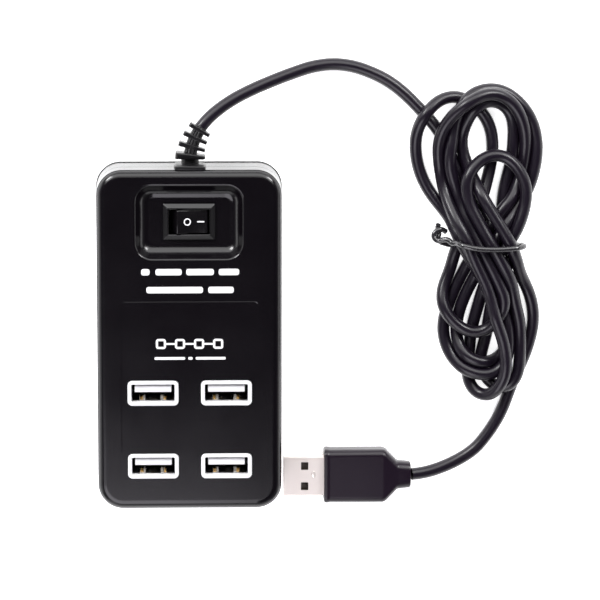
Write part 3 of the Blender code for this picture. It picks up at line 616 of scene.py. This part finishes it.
def relief_holes(name):
    """The hole for the strain relief's neck, and the shallow seat of its plate."""
    middle_x, _, middle_z = RELIEF_START
    holes = []
    for kind, outline, low, lift in (("neck", rounded(5.9, 5.9, 2.6, 8), 46.0, 0.0),
                                     ("seat", rounded(9.3, 12.6, 1.1, 6), 50.0, PLATE_LIFT)):
        rings = [[(middle_x + x, y, middle_z + lift + z) for x, z in outline] for y in (low, 56.0)]
        holes.append(scratch(f"{name}_{kind}", *loft(rings)))
    return holes


def dish():
    """The recess round the switch: a rounded rim, a steep side and a flat floor."""
    insets = np.linspace(0.0, DISH_SLOPE, 30)
    steep = np.tan(np.radians(np.interp(insets, *DISH_STEEPNESS)))
    drops = np.concatenate([[0.0], np.cumsum((steep[:-1] + steep[1:]) / 2)])
    drops *= (FACE[2] - DISH_FLOOR_Z) / drops[-1]
    width, length, radius = DISH_RIM
    rings = [level(FACE[2] - drop, width - 2 * inset, length - 2 * inset, radius - 0.78 * inset,
                   12, DISH) for inset, drop in zip(insets, drops)][::-1]
    return loft(rings + [level(23.0, *DISH_RIM, 12, DISH)])


def make_front_cover():
    rings = [case_ring(20.0, 3.2), case_ring(19.0, WALL), case_ring(SEAM_Z - 0.1, WALL),
             case_ring(SEAM_Z - 0.1, 0.1), case_ring(SEAM_Z), case_ring(17.0),
             case_ring(FACE[2] - FILLET)]
    for turn in quarter(10):
        rings.append(case_ring(FACE[2] - FILLET * (1 - math.sin(turn)),
                               EDGE_STEP + (FILLET_REACH - EDGE_STEP) * (1 - math.cos(turn))))
    cover = piece("front_cover_shell", *loft(rings), CASE, replaced=("front_cover",),
                  slot="case_black")
    tub = loft([level(16.8, 30.0, 19.0, 3.6, 10, DISH), level(20.6, 35.0, 25.0, 5.4, 10, DISH)])
    shape(cover, [scratch("tub", *tub)], "UNION")
    tools = [scratch("dish", *dish()),
             scratch("switch_hole", *prism((14.0, 20.0), *SWITCH_HOLE, 3, DISH))]
    for number, centre in enumerate(PORTS):
        tools.append(scratch(f"port_hole_{number}", *prism((17.0, 24.0), *PORT_HOLE, 6, centre)))
    shape(cover, tools)
    panel = loft([panel_ring(0.22), panel_ring(0.0, 22.02), panel_ring(0.0, 22.6)])
    shape(cover, [scratch("panel", *panel)] + relief_holes("front"), angle=4.0)
    weigh_normals(cover)


def make_back_cover():
    rings = [case_ring(2.6, WALL), case_ring(SEAM_Z - 0.22, WALL), case_ring(SEAM_Z - 0.22, 0.1),
             case_ring(SEAM_Z - 0.32), case_ring(6.0, 0.5 * BASE_LIP), case_ring(2.6, BASE_LIP),
             case_ring(2.5)]
    for turn in quarter(8):
        rings.append(case_ring(BASE[2] + BACK_FILLET * (1 - math.sin(turn)),
                               BACK_FILLET * (1 - math.cos(turn))))
    cover = piece("back_cover_shell", *loft(rings), CASE_BACK, replaced=("back_cover",),
                  slot="case_black")
    tools = []
    for kind, places, profile in (("screw", SCREW_PLACES, SCREW_WELL),
                                  ("foot", FOOT_PLACES, FOOT_WELL)):
        for number, centre in enumerate(places):
            tools.append(scratch(f"{kind}_well_{number}", *turned(centre, profile)))
    recess = loft([level(0.0, 24.2, 34.2, 2.1, 8), level(0.6, 24.2, 34.2, 2.1, 8),
                   level(0.85, 23.6, 33.6, 1.8, 8)])
    tools.append(scratch("label_recess", *recess))
    shape(cover, tools + relief_holes("back"))
    weigh_normals(cover)


def make_underside():
    foot = [(1.0, 3.9), (0.75, 4.0), (0.3, 4.0)]
    foot += [(0.3 * (1 - math.sin(turn)), 3.6 + 0.4 * math.cos(turn))
             for turn in (0.3, 0.6, 0.9, 1.2, math.pi / 2)]
    foot += [(0.0, 3.0), (0.0, 2.6), (0.12, 2.4), (0.12, 0.3)]
    for number, centre in enumerate(FOOT_PLACES, 1):
        piece(f"foot_pad_{number}", *turned(centre, foot), RUBBER, replaced=(f"foot_{number}",),
              slot="foot_rubber")
    for number, (x, y) in enumerate(SCREW_PLACES, 1):
        low, high = (v[2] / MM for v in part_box(f"cover_screw_{number}"))
        head = [(low + 0.25, 0.6), (low, 0.9), (low, 1.5), (low + 0.12, 1.85), (low + 0.5, 2.1),
                (low + 1.0, 2.1), (low + 1.3, 1.1)]
        thread = []
        z = low + 1.6
        while z < high - 0.5:
            thread += [(z, 0.85), (z + 0.25, 1.1)]
            z += 0.5
        screw = piece(f"screw_{number}", *turned((x, y), head + thread + [(high, 0.5)], 36), SCREW,
                      replaced=(f"cover_screw_{number}",), slot="screw_steel")
        cross = [scratch(f"slot_{number}_{k}", *plain_block((x - a, y - b, low - 0.5),
                                                            (x + a, y + b, low + 0.75)))
                 for k, (a, b) in enumerate(((1.35, 0.28), (0.28, 1.35)))]
        shape(screw, cross)


# ---- sockets

FRAME_TOP = 22.3
FRAME_LOW = FRAME_TOP - 2.8
FRAME_OUTER = (15.0, 7.45, 1.4)
FRAME_MOUTH = (12.8, 5.3, 0.4)
OUTER_EDGE = 0.3
MOUTH_EDGE = 0.12
TONGUE_OFFSET = 1.15
CONTACT_PLACES = (-3.5, -1.0, 1.0, 3.5)
FINGER_PLACES = (-3.2, 3.0)
# The bent line of a spring finger, as (y, z), and half its width and thickness.
FINGER_BEND = [(-2.52, 19.0), (-2.30, 18.6), (-1.75, 17.8), (-1.42, 17.0), (-1.40, 16.3),
               (-1.75, 15.3), (-2.25, 14.3), (-2.50, 13.6)]
FINGER_HALF = 0.85
FINGER_THICKNESS = 0.11


def socket_frame(centre):
    """The frame round a socket's mouth, with its outer and inner edges rounded."""
    width, length, radius = FRAME_OUTER
    rings = [level(FRAME_LOW, *FRAME_OUTER, 8, centre)]
    for turn in quarter(6):
        inset = OUTER_EDGE * (1 - math.cos(turn))
        rings.append(level(FRAME_TOP - OUTER_EDGE * (1 - math.sin(turn)), width - 2 * inset,
                           length - 2 * inset, radius - inset, 8, centre))
    width, length, radius = FRAME_MOUTH
    for turn in quarter(4):
        inset = MOUTH_EDGE * (1 - math.sin(turn))
        rings.append(level(FRAME_TOP - MOUTH_EDGE * (1 - math.cos(turn)), width + 2 * inset,
                           length + 2 * inset, radius + inset, 8, centre))
    rings.append(level(FRAME_LOW, *FRAME_MOUTH, 8, centre))
    return loft(rings, closed=True)


def spring_finger(middle_x, middle_y):
    """A thin bent strip along the side of a socket."""
    left, right = middle_x - FINGER_HALF, middle_x + FINGER_HALF
    rings = []
    for k, (y, z) in enumerate(FINGER_BEND):
        before, after = FINGER_BEND[max(k - 1, 0)], FINGER_BEND[min(k + 1, len(FINGER_BEND) - 1)]
        along = Vector((after[0] - before[0], after[1] - before[1])).normalized()
        side = Vector((along.y, -along.x)) * FINGER_THICKNESS
        near, far = middle_y + y + side.x, middle_y + y - side.x
        rings.append([(left, near, z + side.y), (right, near, z + side.y),
                      (right, far, z - side.y), (left, far, z - side.y)])
    return loft(rings)


def make_ports():
    for number, (cx, cy) in enumerate(PORTS, 1):
        rim = piece(f"socket_frame_{number}", *socket_frame((cx, cy)), FRAME,
                    replaced=(f"port_frame_{number}",), slot="frame_white")
        weigh_normals(rim)
        ty = cy + TONGUE_OFFSET
        blade = soft_block((cx - 5.4, ty - 0.92, 10.95), (cx + 5.4, ty + 0.92, 21.3), 0.22)
        piece(f"socket_tongue_{number}", *blade, TONGUE, replaced=(f"port_tongue_{number}",),
              slot="tongue_white")
        # The socket base is white plastic like the tongue; it is coloured black here as painted
        # shade deep inside the socket.
        base = soft_block((cx - 5.95, cy - 2.26, 7.9), (cx + 5.95, cy + 2.26, 10.9), 0.15)
        piece(f"socket_base_{number}", *base, CHIP, slot="tongue_white")
        strips = [soft_block((cx + x - 0.5, ty - 1.08, 11.2), (cx + x + 0.5, ty - 0.90, 20.3), 0.07)
                  for x in CONTACT_PLACES]
        piece(f"socket_contacts_{number}", *several(strips), GOLD, slot="contact_brass")
        fingers = [spring_finger(cx + x, cy) for x in FINGER_PLACES]
        piece(f"socket_fingers_{number}", *several(fingers), FINGER, slot="port_metal")


# ---- switch

PIVOT_Z = 15.2
RESTING_LEAN = math.radians(10.0)
# The housing and its bezel, from the outside in: height, width, length and corner radius.
HOUSING = [(8.0, 13.0, 8.6, 0.5), (19.0, 13.0, 8.6, 0.5), (19.1, 15.3, 10.6, 0.35),
           (19.55, 15.3, 10.6, 0.35), (19.76, 15.2, 10.5, 0.32), (20.52, 12.75, 8.15, 0.22),
           (20.68, 12.55, 7.95, 0.2), (20.7, 12.35, 7.75, 0.2), (20.62, 12.12, 7.5, 0.2),
           (20.4, 12.0, 7.4, 0.2), (9.0, 12.0, 7.4, 0.2)]
BORE_RADIUS = 1.1
# Half of the rocker's outline about its pivot, as (x, z): the hollow top, then the side.
ROCKER_TOP = [(0.0, 5.155), (0.6, 5.17), (1.6, 5.21), (2.6, 5.29), (3.5, 5.38), (4.1, 5.46)]
ROCKER_SIDE = [(4.38, 5.47), (4.56, 5.38), (4.66, 5.2), (4.95, 3.7), (5.22, 2.4), (5.3, 2.1),
               (5.3, -0.5), (5.15, -0.8)]
ROCKER_MIDDLE_Z = 2.4
# Places across the rocker, and how far its outline is drawn in there.
ROCKER_ENDS = [(-3.4, 0.22), (-3.36, 0.12), (-3.28, 0.04), (-3.16, 0.0),
               (3.16, 0.0), (3.28, 0.04), (3.36, 0.12), (3.4, 0.22)]
RING_X = -1.44
RING_INNER, RING_OUTER = 0.73, 1.10
RING_FOOT = 5.0
DASH_X = 2.53
DASH = (2.1, 0.42)


def leaned(x, y, z):
    """A place on the rocker, given about its pivot before its resting lean."""
    return (x * math.cos(RESTING_LEAN) + z * math.sin(RESTING_LEAN), DISH_Y + y,
            PIVOT_Z - x * math.sin(RESTING_LEAN) + z * math.cos(RESTING_LEAN))


def top_height(x):
    """Height of the rocker's hollow top above its pivot."""
    return float(np.interp(abs(x), *zip(*ROCKER_TOP)))


def make_switch_housing():
    rings = [level(*row, 4, DISH) for row in HOUSING]
    housing = piece("switch_case", *loft(rings), SWITCH, replaced=("switch_housing",),
                    slot="switch_black")
    bore = [[(math.cos(a) * BORE_RADIUS, y, PIVOT_Z + math.sin(a) * BORE_RADIUS)
             for a in around(16)] for y in (DISH_Y - 5.0, DISH_Y + 5.0)]
    shape(housing, [scratch("bore", *loft(bore))], angle=20.0)


def make_rocker():
    half = ROCKER_TOP[1:] + ROCKER_SIDE
    profile = [(-x, z) for x, z in half[::-1]] + ROCKER_TOP[:1] + half + [(0.0, -0.8)]
    rings = []
    for y, inset in ROCKER_ENDS:
        ring = []
        for x, z in profile:
            away = Vector((x, z - ROCKER_MIDDLE_Z))
            away = away * (1 - inset / max(away.length, 0.1))
            ring.append(leaned(away.x, y, ROCKER_MIDDLE_Z + away.y))
        rings.append(ring)
    piece("rocker_cap", *loft(rings), ROCKER, body="rocker", replaced=("rocker",),
          slot="switch_black", angle=25.0)

    def circle(radius):
        return [(RING_X + radius * math.cos(a), radius * math.sin(a)) for a in around(48)]

    mark = [[leaned(x, y, top_height(x) + lift - 0.02) for x, y in circle(radius)]
            for radius, lift in ((RING_INNER, 0.0), (0.76, 0.05), (1.07, 0.05), (RING_OUTER, 0.0))]
    mark += [[leaned(x, y, RING_FOOT) for x, y in circle(radius)]
             for radius in (RING_OUTER, RING_INNER)]
    piece("rocker_mark_ring", *loft(mark, closed=True), MARK, body="rocker", angle=40.0)
    dash = []
    for lift, grow in ((-0.1, 0.0), (0.02, 0.0), (0.04, -0.04)):
        outline = rounded(DASH[0] + 2 * grow, DASH[1] + 2 * grow, 0.1, 3)
        dash.append([leaned(DASH_X + x, y, top_height(DASH_X + x) + lift) for x, y in outline])
    piece("rocker_mark_dash", *loft(dash), MARK, body="rocker", angle=40.0)


# ---- printed marks

# Each line of bars: its middle, and where its bars start and end.
BAR_HEIGHT = 1.9
BAR_LINES = [(20.5, ((-14.1, -11.6), (-9.9, -2.2), (-0.9, 7.2), (8.6, 14.6))),
             (15.2, ((-12.6, 4.0), (5.5, 13.0)))]
# A bar's levels: height above the face, trim, and corner radius as a share of its height.
BAR_EDGE = ((-0.05, 0.0, 0.35), (0.025, 0.0, 0.35), (0.035, 0.06, 0.32))
SIGN_Y = -0.8
SIGN_SQUARES = (-8.4, -2.8, 2.8, 8.4)
SIGN_JOINS = (-5.6, 0.0, 5.6)
UNDERLINE_Y = -5.1
UNDERLINES = ((-10.3, -1.3), (-0.4, 0.9), (1.8, 10.6))
INK = 0.03


def make_print():
    """Plain bars on the face, and on the inset panel four joined hollow squares over a line."""
    bars = []
    for y, spans in BAR_LINES:
        for x0, x1 in spans:
            bars.append(loft([level(FACE[2] + lift, x1 - x0 - trim, BAR_HEIGHT - trim,
                                    BAR_HEIGHT * bend, 4, ((x0 + x1) / 2, y))
                              for lift, trim, bend in BAR_EDGE]))
    piece("print_bars", *several(bars), MARK, slot="frame_white")

    low, high = panel_floor(SIGN_Y) - INK, panel_floor(SIGN_Y) + INK
    parts = []
    for x in SIGN_SQUARES:
        rings = [level(z, 3.0 - inset, 3.0 - inset, 0.8 - inset / 2, 6, (x, SIGN_Y))
                 for z, inset in ((low, 0.0), (high, 0.0), (high, 1.3), (low, 1.3))]
        parts.append(loft(rings, closed=True))
    for x in SIGN_JOINS:
        parts.append(prism((low, high), 2.62, 0.55, 0.1, 3, (x, SIGN_Y)))
    low, high = panel_floor(UNDERLINE_Y) - INK, panel_floor(UNDERLINE_Y) + INK
    for x0, x1 in UNDERLINES:
        parts.append(prism((low, high), x1 - x0, 0.8, 0.3, 4, ((x0 + x1) / 2, UNDERLINE_Y)))
    piece("print_sign", *several(parts), MARK, slot="frame_white")


# ---- strain relief

# Distances along the relief, and its heading there in degrees.
RELIEF_BEND = [(0.0, 0.0), (7.2, 1.0), (9.2, 11.0), (10.6, 16.5), (13.4, 25.0), (16.1, 31.0),
               (17.2, 34.0)]
# The middles of the ribs along the relief, and their widths.
RELIEF_RIBS = [(10.6, 8.1), (13.4, 7.5), (16.1, 6.8)]
RIB_HALF = 0.58
SPINE_START = 8.4
SPINE_END = 16.9
FLUTES = 14
FLUTE_DEPTH = 0.11


def relief_axis(distance):
    """Place and heading on the relief's bent axis, in millimetres from its inner end."""
    place = Vector(RELIEF_START)
    along, degrees = zip(*RELIEF_BEND)
    steps = 60
    for step in range(steps):
        heading = math.radians(float(np.interp(distance * (step + 0.5) / steps, along, degrees)))
        drop = -0.04 if heading > math.radians(1.0) else 0.0
        place += Vector((math.sin(heading), math.cos(heading), drop)) * (distance / steps)
    return place, heading


def relief_section(distance, outline):
    """A ring across the relief's axis from an outline of (sideways, height)."""
    place, heading = relief_axis(distance)
    across = Vector((math.cos(heading), -math.sin(heading), 0.0))
    return [place + across * x + Vector((0.0, 0.0, z)) for x, z in outline]


def fluted(width, height, sides=64):
    """A round outline with shallow lengthwise grooves."""
    outline = []
    for turn in around(sides):
        ripple = 1 - FLUTE_DEPTH * (0.5 - 0.5 * math.cos(FLUTES * turn))
        outline.append((width / 2 * ripple * math.cos(turn), height / 2 * ripple * math.sin(turn)))
    return outline


def plate(start, stop, width, height, radius, edge, lift=0.0):
    """A slab across the relief with rounded edges."""
    rings = []
    turns = quarter(4)
    for end, sign, order in ((start, 1, turns), (stop, -1, turns[::-1])):
        for turn in order:
            inset = edge * (1 - math.sin(turn))
            outline = rounded(width - 2 * inset, height - 2 * inset, radius - inset, 6, (0.0, lift))
            rings.append(relief_section(end + sign * edge * (1 - math.cos(turn)), outline))
    return loft(rings)


def make_strain_relief():
    """From inside out: a stop, the neck, the plate on the wall, the flange, ribs and spine."""
    neck = rounded(5.2, 5.2, 2.3, 8)
    parts = [plate(0.0, 2.3, 7.2, 6.4, 2.4, 0.25),
             plate(4.55, 5.75, 9.1, 12.4, 1.0, 0.25, PLATE_LIFT),
             plate(7.1, 8.6, 8.9, 7.8, 1.2, 0.3),
             loft([relief_section(end, neck) for end in (2.2, 7.3)])]
    for middle, width in RELIEF_RIBS:
        parts.append(plate(middle - RIB_HALF, middle + RIB_HALF, width, 4.7, 0.7, 0.2))
    spine = []
    for distance in np.linspace(SPINE_START, SPINE_END, 34):
        taper = 1.0 - 0.05 * (distance - SPINE_START) / 8.5
        spine.append(relief_section(float(distance), fluted(3.9 * taper, 5.0 * taper)))
    spine.append(relief_section(17.15, fluted(3.3, 4.0)))
    parts.append(loft(spine))
    return piece("cord_relief", *several(parts), RELIEF, replaced=("strain_relief",),
                 slot="relief_black")


# ---- plug

PLUG_Y = -44.0
PLUG_Z = 4.05
# Rows are x along the plug, width, height and corner radius.
GRIP_ROWS = [(40.3, 12.7, 5.2, 0.9), (40.3, 14.8, 6.4, 1.4), (40.36, 15.6, 7.2, 1.7),
             (40.55, 16.15, 7.75, 2.0), (40.9, 16.4, 8.0, 2.1), (41.5, 16.4, 8.0, 2.1),
             (41.8, 16.2, 7.85, 2.1), (42.2, 16.1, 7.8, 2.1), (50.0, 16.2, 7.85, 2.1),
             (57.9, 16.25, 7.9, 2.1), (58.6, 16.0, 7.8, 2.3), (59.2, 15.3, 7.6, 2.4),
             (62.3, 9.0, 6.9, 2.6), (62.7, 8.55, 6.8, 2.6), (63.1, 8.45, 6.75, 2.6),
             (66.0, 7.9, 6.4, 2.6), (66.4, 7.6, 6.1, 2.5), (66.55, 7.0, 5.6, 2.4),
             (66.58, 4.2, 4.2, 2.0)]
SLEEVE_ROWS = [(28.22, 11.75, 4.25, 0.25), (28.2, 11.9, 4.4, 0.3), (28.26, 11.98, 4.48, 0.33),
               (28.36, 12.0, 4.5, 0.35), (46.0, 12.0, 4.5, 0.35), (46.0, 11.4, 3.9, 0.15),
               (28.4, 11.4, 3.9, 0.15), (28.28, 11.6, 4.1, 0.2)]
SLEEVE_TOP = PLUG_Z + 2.25
WINDOW_X = 34.5
WINDOW_OFFSETS = (-3.1, 3.1)
SEAM_OFFSET = 5.1
BUMP_PLACE = (37.2, PLUG_Y + 0.5)
BUMP_HALF = (0.62, 1.12)


def plug_ring(x, width, height, radius):
    return [(x, PLUG_Y + y, PLUG_Z + z) for y, z in rounded(width, height, radius, 8)]


def make_plug():
    grip = piece("plug_body", *loft([plug_ring(*row) for row in GRIP_ROWS]), GRIP,
                 replaced=("plug_grip",), slot="plug_black")
    socket = loft([plug_ring(x, 12.5, 5.0, 0.8) for x in (39.0, 46.2)])
    shape(grip, [scratch("plug_socket", *socket)], angle=28.0)
    weigh_normals(grip)

    shell = piece("plug_sleeve", *loft([plug_ring(*row) for row in SLEEVE_ROWS], closed=True),
                  PLUG_METAL, replaced=("plug_shell",), slot="plug_metal")
    tools = []
    for number, offset in enumerate(WINDOW_OFFSETS):
        window = prism((PLUG_Z - 4.0, PLUG_Z + 4.0), 2.2, 2.4, 0.25, 4, (WINDOW_X, PLUG_Y + offset))
        tools.append(scratch(f"window_{number}", *window))
    seam = [(x, PLUG_Y + SEAM_OFFSET, SLEEVE_TOP) for x in np.linspace(28.0, 41.0, 12)]
    tools.append(scratch("plug_seam", *swept(seam, 0.11, 6)))
    shape(shell, tools, angle=30.0)
    weigh_normals(shell)

    rings = []
    for turn in quarter(6):
        reach, z = max(math.cos(turn), 0.03), SLEEVE_TOP - 0.04 + 0.24 * math.sin(turn)
        rings.append([(BUMP_PLACE[0] + BUMP_HALF[0] * reach * math.cos(a),
                       BUMP_PLACE[1] + BUMP_HALF[1] * reach * math.sin(a), z) for a in around(28)])
    piece("plug_bump", *loft(rings), PLUG_METAL, slot="plug_metal", angle=60.0)
    # Under each window a flat sheet and a small tab, coloured dark as painted shade inside the
    # window.
    tabs = []
    for offset in WINDOW_OFFSETS:
        y = PLUG_Y + offset
        tabs.append(soft_block((33.1, y - 1.35, PLUG_Z + 0.7), (35.9, y + 1.35, PLUG_Z + 1.0), 0.1))
        tabs.append(soft_block((33.8, y - 0.2, PLUG_Z + 0.9), (35.2, y + 0.8, PLUG_Z + 1.3), 0.12))
    piece("plug_latch_pads", *several(tabs), PAD_SHADE, slot="plug_metal")


# ---- cord and tie in place

LINE = settled_cord()

# The tie's two twisted ends in millimetres, from the waist outwards.
TIE_ENDS = [
    [(78.3, 27.0, 9.0), (77.0, 27.9, 8.2), (75.6, 27.9, 7.6), (74.1, 27.5, 7.0), (73.0, 28.3, 6.5),
     (73.0, 29.6, 6.2), (74.1, 30.6, 6.0), (75.4, 30.7, 5.6), (76.6, 30.0, 4.9)],
    [(77.6, 25.8, 2.6), (76.2, 26.3, 3.6), (74.9, 26.9, 4.7), (74.3, 28.1, 4.8), (74.6, 29.4, 4.3),
     (74.2, 30.8, 4.0), (74.4, 32.1, 4.5)],
]
# How far from the waist's left side the wire leaves it for the twist.
TWIST_REACH = 2.2


def make_cord():
    """The one cord, from the strain relief to the plug, and its length."""
    curve = bpy.data.curves.new("cord", "CURVE")
    curve.dimensions = "3D"
    curve.bevel_depth = CORD_RADIUS * MM
    curve.bevel_resolution = 6
    curve.use_fill_caps = True
    spline = curve.splines.new("POLY")
    fine = through(np.concatenate([[CORD_START], LINE]), 2)
    spline.points.add(len(fine) - 1)
    for point, place in zip(spline.points, fine):
        point.co = (*(place * MM), 1.0)
    spline.use_smooth = True
    made = add("cord", curve)
    curve.materials.append(JACKET)
    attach(made, "hub")
    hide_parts("cord_lead", "cord_bundle", "cord_tail")
    length = float(np.linalg.norm(np.diff(fine, axis=0), axis=1).sum()) * MM
    return made, length


def turns_right(a, b, c):
    """Whether the way from a by b to c is straight or turns clockwise."""
    first, second = b - a, c - a
    return first[0] * second[1] - first[1] * second[0] <= 0


def wrap_outline():
    """The taut outline, across the bundle at the tie, of every strand there, as (x, z)."""
    near = LINE[np.abs(LINE[:, 1] - TIE_Y) < 2.0]
    turn = np.linspace(0, 2 * math.pi, 24, endpoint=False)
    reach = CORD_RADIUS + TIE_WIRE + 0.05
    across, up = reach * 1.08 * np.cos(turn), reach * np.sin(turn)
    dots = np.concatenate([np.stack([x + across, z + up], axis=1) for x, _, z in near])
    dots = dots[np.lexsort((dots[:, 1], dots[:, 0]))]

    def half(order):
        hull = []
        for dot in order:
            while len(hull) > 1 and turns_right(hull[-2], hull[-1], dot):
                hull.pop()
            hull.append(dot)
        return hull[:-1]

    hull = np.array(half(dots) + half(dots[::-1]))
    hull[:, 1] = np.maximum(hull[:, 1], TIE_WIRE + 0.02)
    closed = np.concatenate([hull, hull[:1]])
    along = travelled(closed)
    return resampled(closed, along, np.linspace(0.0, along[-1], 97)[:-1])


def make_tie():
    """A wire round the waist, a little askew, with its two ends twisted together."""
    outline = wrap_outline()
    left = outline[:, 0].min()
    width = outline[:, 0].max() - left
    outline = np.roll(outline, -int(outline[:, 0].argmin()), axis=0)
    waist = []
    for x, z in outline:
        share = (x - left) / width
        upper = 1.0 if z > outline[:, 1].mean() else 0.0
        y = TIE_Y - 0.4 + upper * (3.0 * (1 - share) ** 4 + 0.9 * share ** 3 - 0.3)
        point = Vector((x, y, z))
        if point.x > left + TWIST_REACH:
            waist.append(point)
    upper_end, lower_end = [[Vector(p) for p in end] for end in TIE_ENDS]
    wire = through(lower_end[::-1] + waist + upper_end, 3)
    piece("tie_wire", *swept(wire, TIE_WIRE, 14), TIE, replaced=("cord_tie",), slot="tie_black",
          angle=50.0)


# ---- all pieces

# CAD nodes shown as they are, each with its surface.
CARRIED = {
    "circuit_board": BOARD, "hub_chip": CHIP, "clock_crystal": CAN,
    "capacitor_1": SLEEVE, "capacitor_2": SLEEVE,
    "rocker_plunger": BRASS, "seesaw_contact": BRASS,
    "switch_terminal_1": BRASS, "switch_terminal_2": BRASS,
    "rocker_spring": SPRING, "plug_insulator": INSULATOR,
    "switch_wire_1": INSULATION["red"], "switch_wire_2": INSULATION["red"],
}
CARRIED.update({f"conductor_{name}": surface for name, surface in INSULATION.items()})
for number in range(1, 5):
    CARRIED.update({f"port_shell_{number}": TIN, f"plug_contact_{number}": GOLD})

make_front_cover()
make_back_cover()
make_underside()
make_ports()
make_switch_housing()
make_rocker()
make_print()
relief = make_strain_relief()
make_plug()
cord, cord_length = make_cord()
make_tie()
for name, surface in CARRIED.items():
    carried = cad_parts[name]
    carried.data.materials.clear()
    carried.data.materials.append(surface)


# ---- floor, light and sky

FLOOR_SIZE = 5000.0
FLOOR_GLOW = 0.85
# How far the floor's painted contact shadow reaches, in metres.
CONTACT_SHADOW_REACH = 0.0012
SKY_LOW = (0.40, 0.40, 0.42)
SKY_HIGH = (0.03, 0.03, 0.033)


def make_floor():
    """A pale sheet that glows evenly, with painted contact shadow: its glow is dimmed by ambient
    occlusion where something touches it.
    """
    made = solid("floor", *prism((-0.6, -0.05), FLOOR_SIZE, FLOOR_SIZE, 400.0, 8, (0.0, 0.0)))
    paper = finish("floor_paper", (0.90, 0.90, 0.905), 0.7, grain=600.0, bump=0.02, shade=0.01,
                   mottle=4.0)
    tree = paper.node_tree
    shader = tree.nodes["Principled BSDF"]
    shader.inputs["Emission Color"].default_value = (1.0, 1.0, 1.0, 1.0)
    # Painted contact shadow: ambient occlusion dims the floor's glow near whatever rests on it.
    contact = node(tree, "ShaderNodeAmbientOcclusion", Distance=CONTACT_SHADOW_REACH)
    glow = node(tree, "ShaderNodeMapRange", To_Max=FLOOR_GLOW)
    join(tree, (contact, "AO", glow, "Value"), (glow, "Result", shader, "Emission Strength"))
    made.data.materials.append(paper)


def soft_light(name, place, aim, size, power, colour=(1.0, 1.0, 1.0)):
    """A rectangular lamp turned towards a point."""
    data = bpy.data.lights.new(name, "AREA")
    data.shape = "RECTANGLE"
    data.size, data.size_y = size
    data.energy = power
    data.color = colour
    made = add(name, data)
    made.location = place
    made.rotation_euler = (Vector(aim) - Vector(place)).to_track_quat("-Z", "Y").to_euler()


def make_sky():
    """A pale studio: bright near the horizon, darker overhead."""
    sky = bpy.data.worlds.new("studio")
    sky.use_nodes = True
    tree = sky.node_tree
    place = tree.nodes.new("ShaderNodeTexCoord")
    split = tree.nodes.new("ShaderNodeSeparateXYZ")
    ramp = tree.nodes.new("ShaderNodeValToRGB")
    for stop, place_up, colour in zip(ramp.color_ramp.elements, (0.05, 0.75), (SKY_LOW, SKY_HIGH)):
        stop.position = place_up
        stop.color = (*colour, 1.0)
    join(tree, (place, "Generated", split, "Vector"), (split, "Z", ramp, "Fac"),
         (ramp, "Color", tree.nodes["Background"], "Color"))
    bpy.context.scene.world = sky


bpy.context.scene.view_settings.view_transform = "Standard"
make_floor()
make_sky()
soft_light("key_west", (-0.72, 0.85, 0.75), (0.03, 0.02, 0.0), (0.36, 0.36), 8.0)
soft_light("key_east", (0.80, 0.82, 0.75), (0.03, 0.02, 0.0), (0.32, 0.32), 6.0)
soft_light("wide_north", (0.03, 1.05, 0.85), (0.03, 0.0, 0.0), (2.4, 1.1), 26.0)
soft_light("panel_south", (-0.32, -0.812, 0.90), (-0.32, -0.812, 0.0), (0.74, 1.12), 8.9,
           (0.96, 0.93, 1.0))
soft_light("low_south", (-0.05, -1.25, 0.36), (0.0, 0.0, 0.0), (1.7, 0.5), 3.0)
soft_light("side_west", (-1.0, -0.05, 0.26), (0.0, 0.0, 0.0), (1.2, 0.32), 1.9)
soft_light("side_east", (1.1, -0.05, 0.26), (0.05, 0.0, 0.0), (1.2, 0.32), 1.9)
